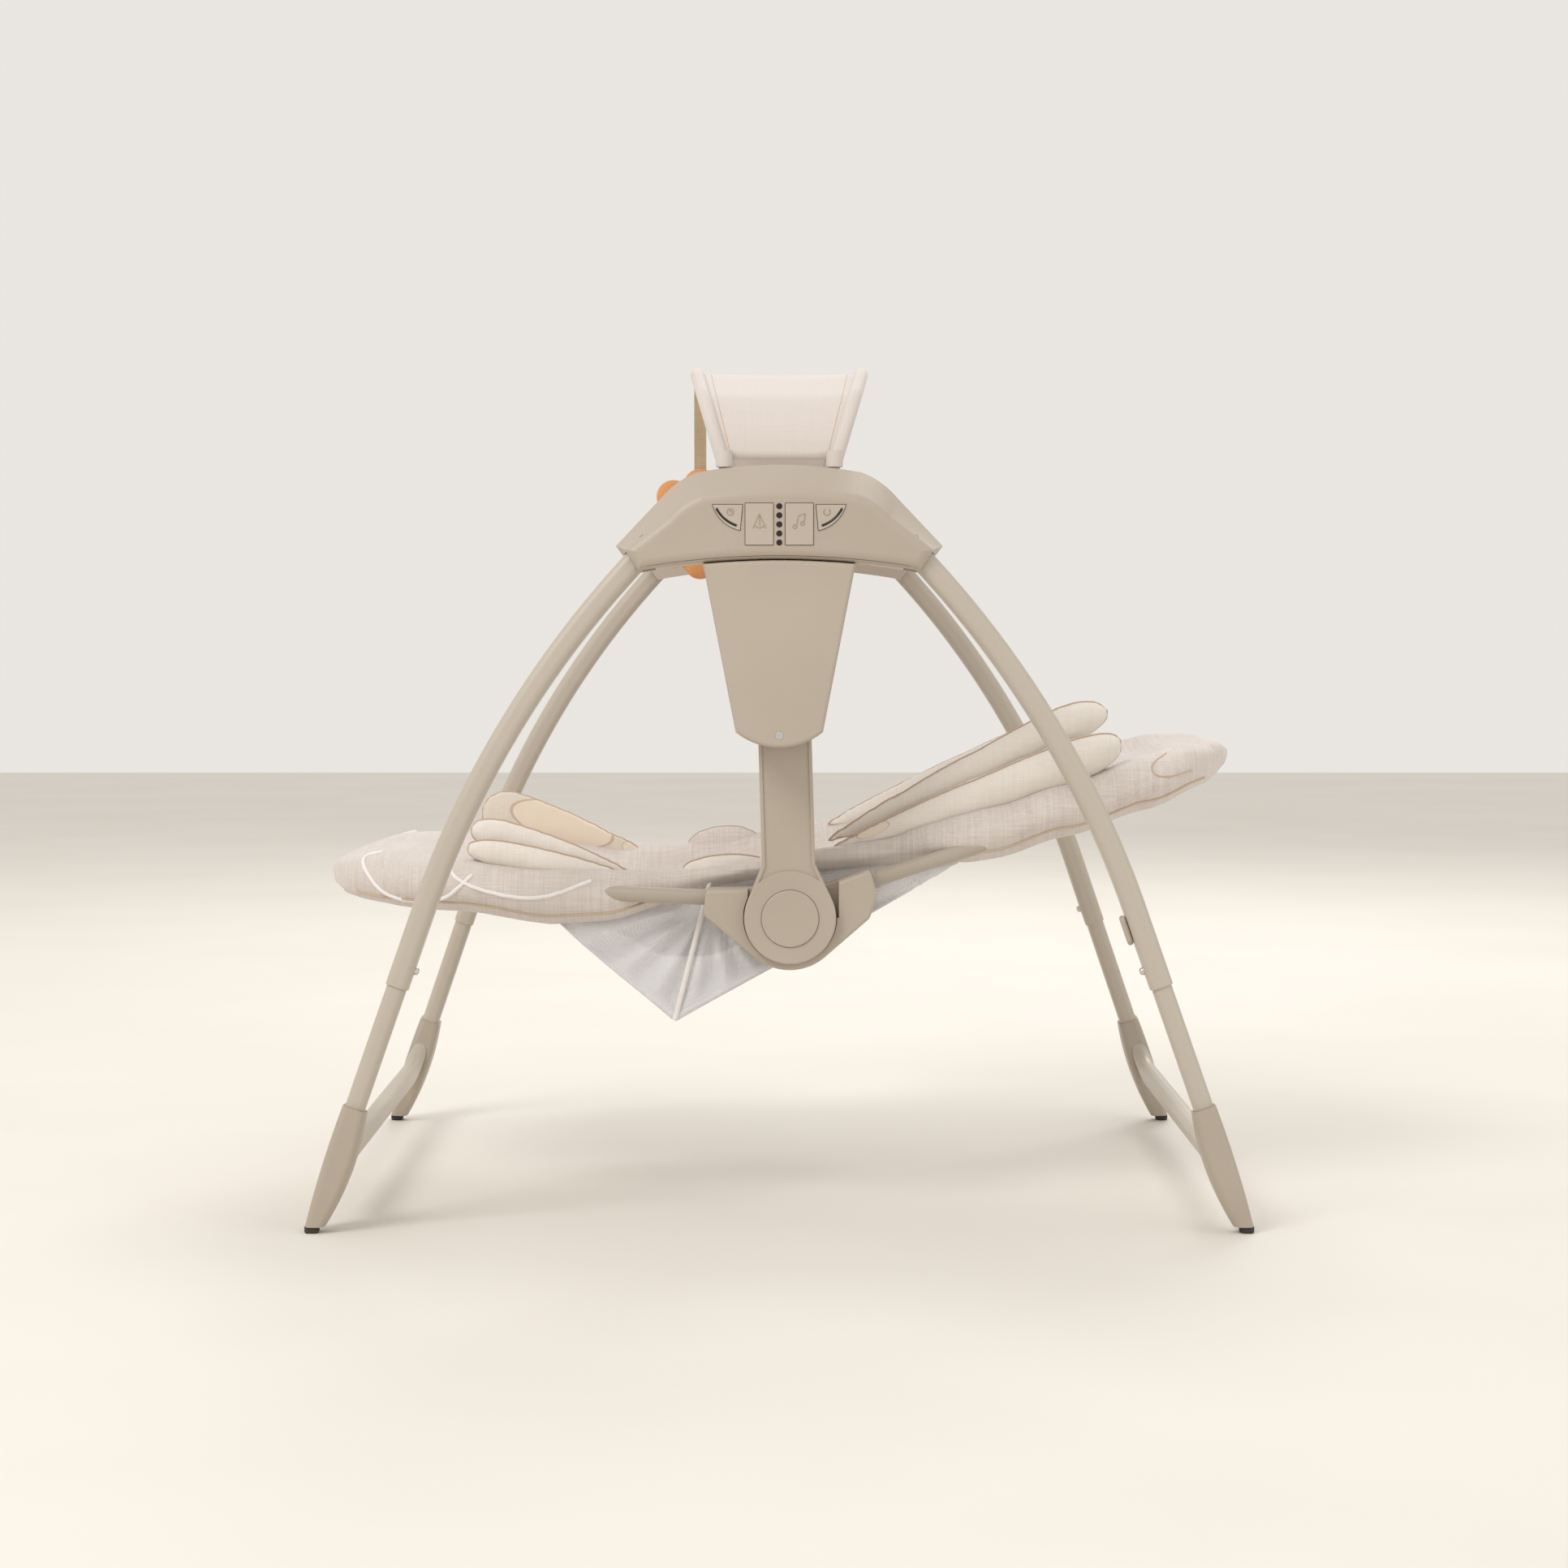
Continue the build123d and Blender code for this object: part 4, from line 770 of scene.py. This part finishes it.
def sling_floor_z(x):
    """Height of the strip: two slopes that meet at the fold."""
    end_x = sling_foot_x if x < sling_fold_x else sling_head_x
    share = (x - sling_fold_x) / (end_x - sling_fold_x)
    belly = 0.004 * math.sin(math.pi * share)
    return sling_fold_z + (sling_rim(end_x) - sling_fold_z) * share - belly * share


def strip_place(u, v):
    x = sling_foot_x + (sling_head_x - sling_foot_x) * u
    y = sling_half * (2 * v - 1)
    wave = math.sin(waves_across * y / wavy_half)
    wave = wave * math.sin(math.pi * u) * abs(math.cos(2.2 * math.pi * u))
    slack = sling_slack * wave * smoothstep((sling_half - abs(y)) / 0.03)
    return Vector((x, y, sling_floor_z(x) + slack))


def side_place(side):
    def place(u, v):
        x = sling_foot_x + (sling_head_x - sling_foot_x) * u
        low, high = sling_floor_z(x), sling_rim(x)
        z = low + (high - low) * v
        angle = math.atan2(z - bracket_z, x - bracket_x)
        reach = math.hypot(z - bracket_z, x - bracket_x)
        held = smoothstep(v * 6) * smoothstep((1 - v) * 6)  # no folds at the two seams
        depth = fold_depth * math.sin(folds_per_radian * angle) * smoothstep(reach / 0.05) * held
        return Vector((x, side * (sling_half - 0.003 * smoothstep(v * 6) + depth), z))
    return place


panels = [cloth_grid("sling_strip", 90, 60, strip_place, sling_net)]
for side in (-1, 1):
    panels.append(cloth_grid("sling_side", 90, 26, side_place(side), sling_net))
sling = join(panels, "mesh_sling_cloth")
sew(sling, 0.0012)
modify(sling, "SOLIDIFY", thickness=0.0006, offset=0)
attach(sling, "seat")
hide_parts("mesh_sling")

for side, name in ((-1, "near"), (1, "far")):
    line = []
    for i in range(30):
        share = i / 29
        x = bracket_x + (sling_fold_x - bracket_x) * share
        z = sling_rim(bracket_x) + (sling_fold_z + 0.002 - sling_rim(bracket_x)) * share
        line.append(Vector((x, side * (sling_half + 0.0025 - 0.002 * share), z)))
    seam = cord_tube(f"sling_seam_{name}", line, 0.0022, ribbon_white)
    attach(seam, "seat")

# %% [markdown]
# ## Harness
# Flat webbing is too thin for the liner's recipe, so it is laid directly: a strap across
# the hollow and one between the legs, both under the buckle.

# %% Harness
buckle_foot_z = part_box("harness_buckle")[0].z - 0.001
strap_lift = 0.0015


def liner_top(x, y):
    """Height of the liner's upper face."""
    half, height, thick, middle = liner_section(x)
    inner = half - roll_reach(thick)
    return middle + (height + thick - middle) * rise_to_roll(y, inner)


waist_reach, waist_width = 0.150, 0.024
crotch_foot, crotch_reach, crotch_width = -0.082, 0.068, 0.023


def waist_place(u, v):
    y = waist_reach * (2 * u - 1)
    x = waist_width * (v - 0.5)
    floor = liner_top(x, y) + strap_lift
    near_buckle = smoothstep(1 - (abs(y) - 0.02) / 0.03)
    return Vector((x, y, max(floor, floor + (buckle_foot_z - floor) * near_buckle)))


def crotch_place(u, v):
    x = crotch_foot + crotch_reach * u
    y = crotch_width * (v - 0.5)
    floor = liner_top(x, y) + strap_lift
    return Vector((x, y, floor + (buckle_foot_z - floor) * smoothstep((u - 0.5) / 0.5)))


waist = cloth_grid("waist_strap", 90, 6, waist_place, webbing)
crotch = cloth_grid("crotch_strap", 40, 6, crotch_place, webbing)
for strap in (waist, crotch):
    modify(strap, "SOLIDIFY", thickness=0.0016, offset=0)
    modify(strap, "BEVEL", width=0.0004, segments=1)
    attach(strap, "seat")
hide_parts("harness_straps")
print("harness straps laid")

# %% [markdown]
# ## Canopy
# The canopy is one strip of cloth, pulled over two bent rods. Each long edge is folded back
# into a casing that the rod runs through, with a row of stitches beside it. A short cuff
# covers the foot of each rod.

# %% Canopy
canopy_low, canopy_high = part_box("canopy")
hub_rim_z = canopy_low.z
arch_top_z = canopy_high.z
foot_half, crest_half = 0.0445, 0.0668
arch_corners = ((-0.2218, hub_rim_z), (-0.2128, 0.640), (-0.1196, arch_top_z), (0.1196, arch_top_z),
                (0.2128, 0.640), (0.2218, hub_rim_z))
corner_rounds = (0.055, 0.150, 0.150, 0.055)


def rounded_path(corners, rounds, steps=14):
    """A path of straight runs joined by arcs."""
    path = [Vector((0, *corners[0]))]
    for before, here, after, radius in zip(corners, corners[1:], corners[2:], rounds):
        here = Vector((0, *here))
        back = (Vector((0, *before)) - here).normalized()
        on = (Vector((0, *after)) - here).normalized()
        half_turn = back.angle(on) / 2
        cut = radius / math.tan(half_turn)
        centre = here + (back + on).normalized() * (radius / math.sin(half_turn))
        start, stop = here + back * cut - centre, here + on * cut - centre
        for i in range(steps + 1):
            share = i / steps
            path.append(centre + start.lerp(stop, share).normalized() * radius)
    path.append(Vector((0, *corners[-1])))
    return path


arch_path = rounded_path(arch_corners, corner_rounds)
casing_radius = 0.0055


def canopy_place(u, v):
    spot = u * (len(arch_path) - 1)
    index = min(int(spot), len(arch_path) - 2)
    here = arch_path[index].lerp(arch_path[index + 1], spot - index)
    ahead = (arch_path[index + 1] - arch_path[index]).normalized()
    out = Vector((0, -ahead.z, ahead.y))
    half = foot_half + (crest_half - foot_half) * (here.z - hub_rim_z) / (arch_top_z - hub_rim_z)
    across = 2 * v - 1
    slack = 0.0015 * math.cos(math.pi * across / 2)
    return here + Vector((half * across, 0, 0)) - out * (slack + 0.0008)


canopy = cloth_grid("canopy_cloth_strip", 120, 24, canopy_place, canopy_cloth)
modify(canopy, "SOLIDIFY", thickness=0.0009, offset=0)
only(canopy)
bpy.ops.object.shade_smooth()
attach(canopy, "toy_arch")
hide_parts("canopy")
stitch_inset = 0.085  # of the strip's width
canopy_steps = 140

for end, v in (("foot", 0.0), ("head", 1.0)):
    rod_line = [canopy_place(i / canopy_steps, v) for i in range(canopy_steps + 1)]
    casing = cord_tube(f"canopy_casing_{end}", rod_line, casing_radius, canopy_cloth)
    stitch_v = stitch_inset if v == 0 else 1 - stitch_inset
    stitch_line = [canopy_place(i / canopy_steps, stitch_v) for i in range(canopy_steps + 1)]
    stitch = cord_tube(f"canopy_stitch_{end}", stitch_line, 0.0006, piping_tan)
    for piece in (casing, stitch):
        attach(piece, "toy_arch")

rod_foot_x, rod_foot_y = 0.0430, 0.2228
cuff_radius, cuff_lifts = 0.0066, (-0.0066, -0.0060, 0.0050, 0.0060)
for end, x in (("foot", -rod_foot_x), ("head", rod_foot_x)):
    for side, y in (("near", -rod_foot_y), ("far", rod_foot_y)):
        cuff_line = [Vector((x, y, hub_rim_z + lift)) for lift in cuff_lifts]
        cuff = cord_tube(f"canopy_cuff_{end}_{side}", cuff_line, cuff_radius, canopy_cloth)
        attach(cuff, "toy_arch")

# %% [markdown]
# ## Hanging flower
# A plush flower hangs from the arch on a tan ribbon: eight stuffed petals round a stuffed
# core. The petals start as flattened balls that grow into one another when they are remeshed.

# %% Hanging flower
toy_low, toy_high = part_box("flower_toy")
toy_x = (toy_low.x + toy_high.x) / 2
toy_y = (toy_low.y + toy_high.y) / 2
petal_ring, petal_reach = 0.032, 0.0145
back_radius, core_radius = 0.034, 0.0235
petal_flatness, back_flatness, core_flatness = 0.62, 0.24, 0.56
toy_z = toy_low.z + petal_ring + 0.0155
petals = []
petal_count = 8
for index in range(petal_count):
    angle = math.tau * index / petal_count
    deselect()
    bpy.ops.mesh.primitive_uv_sphere_add(
        segments=24, ring_count=14, radius=petal_reach,
        location=(toy_x + petal_ring * math.cos(angle), toy_y,
                  toy_z + petal_ring * math.sin(angle)))
    petal = bpy.context.object
    petal.scale = (1, petal_flatness, 1)
    bpy.ops.object.transform_apply(location=True, rotation=True, scale=True)
    petals.append(petal)
deselect()
bpy.ops.mesh.primitive_uv_sphere_add(
    segments=32, ring_count=16, radius=back_radius, location=(toy_x, toy_y, toy_z))
bpy.context.object.scale = (1, back_flatness, 1)
bpy.ops.object.transform_apply(location=True, rotation=True, scale=True)
petals.append(bpy.context.object)
flower = join(petals, "flower_petals")
flower.data.materials.clear()
flower.data.materials.append(orange_plush)
modify(flower, "REMESH", mode="VOXEL", voxel_size=0.002)
modify(flower, "SMOOTH", factor=0.5, iterations=4)
only(flower)
bpy.ops.object.shade_smooth()
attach(flower, "toy")
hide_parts("flower_toy")

deselect()
bpy.ops.mesh.primitive_uv_sphere_add(
    segments=40, ring_count=20, radius=core_radius, location=(toy_x, toy_y, toy_z))
core = bpy.context.object
core.name = "flower_core"
core.scale = (1, core_flatness, 1)
bpy.ops.object.transform_apply(location=True, rotation=True, scale=True)
core.data.materials.append(tan_plush)
bpy.ops.object.shade_smooth()
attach(core, "toy")

ribbon_top, ribbon_bottom = toy_high.z, toy_z + petal_ring + 0.008
hanger_width = 0.010


def hanger_place(u, v):
    z = ribbon_bottom + (ribbon_top - ribbon_bottom) * u
    return Vector((toy_x + hanger_width * (v - 0.5), toy_y + 0.001 * math.sin(9 * u), z))


hanger = cloth_grid("flower_ribbon", 30, 4, hanger_place, tan_plush)
modify(hanger, "SOLIDIFY", thickness=0.0012, offset=0)
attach(hanger, "toy")
print("flower hung at", round(toy_z, 3))

# %% [markdown]
# ## Marks on the keys
# Each key carries a raised mark: a little swing, a note, a clock and a loop. They are
# plain signs, drawn with thin rods and rings that stand a third of a millimetre proud.

# %% Marks on the keys
mark_plastic = moulded("mark_plastic", linear(176, 162, 144), linear(160, 146, 128), 0.45)
key_face_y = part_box("melody_button")[0].y
mark_radius = 0.00042


def mark_line(name, spots, body, closed=False):
    """A raised line on a key: spots are (x, z) in millimetres."""
    line = [Vector((x / 1000, key_face_y, z / 1000)) for x, z in spots]
    piece = cord_tube(name, line, mark_radius, mark_plastic, closed=closed)
    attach(piece, body)


def mark_ring(x, z, radius, first=0.0, last=1.0, steps=28):
    return [(x + radius * math.sin(math.tau * (first + (last - first) * i / steps)),
             z + radius * math.cos(math.tau * (first + (last - first) * i / steps)))
            for i in range(steps + (0 if last - first == 1 else 1))]


swing_x, note_x, clock_x, loop_x = -15.2, 15.6, -37.5, 36.5
swing_legs = [(swing_x - 5, 541), (swing_x, 552), (swing_x + 5, 541)]
note_stem = [(note_x - 2.4, 542.5), (note_x - 1.0, 550.5), (note_x + 4.4, 552), (note_x + 3.4, 545)]
mark_line("mark_swing_legs", swing_legs, "swing_speed_button")
mark_line("mark_swing_rod", [(swing_x, 552), (swing_x + 0.2, 543)], "swing_speed_button")
mark_line("mark_swing_seat", mark_ring(swing_x, 545.5, 4.2, 0.36, 0.64), "swing_speed_button")
mark_line("mark_note_stem", note_stem, "melody_button")
mark_line("mark_note_head_low", mark_ring(note_x - 3.7, 542.2, 1.4), "melody_button", closed=True)
mark_line("mark_note_head_high", mark_ring(note_x + 2.2, 544.6, 1.4), "melody_button", closed=True)
mark_line("mark_clock_rim", mark_ring(clock_x, 553.4, 2.5), "timer_button", closed=True)
mark_line("mark_clock_hands", [(clock_x, 555.0), (clock_x, 553.4), (clock_x + 1.4, 553.4)],
          "timer_button")
mark_line("mark_loop", mark_ring(loop_x, 553.4, 2.5, 0.1, 0.9), "volume_button")

# %% [markdown]
# ## Dark windows in the fin keys
# Each fin key has a curved slot for a lamp. A black strip is set into it.

# %% Dark windows
window_corners = ((48.0, 555.8), (43.4, 546.4), (32.9, 543.0))  # millimetres
for side, body in ((-1, "timer_button"), (1, "volume_button")):
    curve = []
    for i in range(25):
        share = i / 24
        start, bow, stop = (Vector((x, 0, z)) for x, z in window_corners)
        spot = start * (1 - share) ** 2 + bow * 2 * share * (1 - share) + stop * share**2
        curve.append(Vector((side * spot.x / 1000, key_face_y + 0.0006, spot.z / 1000)))
    window = cord_tube(f"{body}_window", curve, 0.00095, window_black)
    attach(window, body)
print("windows: 2")

# %% [markdown]
# ## Floor and light
# A pale floor, a large soft light over the near side, a broad weak one beside it, a strong one
# behind, and a pale surround that fills the shadows.

# %% Floor and light
deselect()
bpy.ops.mesh.primitive_plane_add(size=14, location=(0, 0, 0))
floor = bpy.context.object
floor.name = "floor"
floor_finish = Finish("pale_floor", roughness=0.85)
floor_cloud = floor_finish.noise(floor_finish.place, 3.0)
floor_tone = floor_finish.mix(linear(224, 219, 211), linear(232, 228, 221), floor_cloud)
floor_finish.feed("Base Color", floor_tone)
floor.data.materials.append(floor_finish.material)


def soft_light(name, size, watts, place, colour=(1, 1, 1)):
    light = bpy.data.lights.new(name, "AREA")
    light.shape = "DISK"
    light.size = size
    light.energy = watts
    light.color = colour
    lamp = bpy.data.objects.new(name, light)
    bpy.context.scene.collection.objects.link(lamp)
    lamp.location = place
    aim = Vector((0, 0, 0.35)) - Vector(place)
    lamp.rotation_euler = aim.to_track_quat("-Z", "Y").to_euler()


# each light's size in metres, its watts and its place
soft_light("key_light", 1.5, 40, (-1.6, -1.9, 2.7), (1.0, 0.99, 0.975))
soft_light("fill_light", 2.4, 8, (2.4, -1.8, 1.0))
soft_light("back_light", 1.6, 34, (0.5, 2.4, 2.4))
bpy.context.scene.view_settings.view_transform = "Standard"
world = bpy.data.worlds.new("surround")
bpy.context.scene.world = world
world.use_nodes = True
surround = world.node_tree.nodes["Background"].inputs
surround["Color"].default_value = (*linear(240, 236, 231), 1)
surround["Strength"].default_value = 0.94
print("lights: 3")
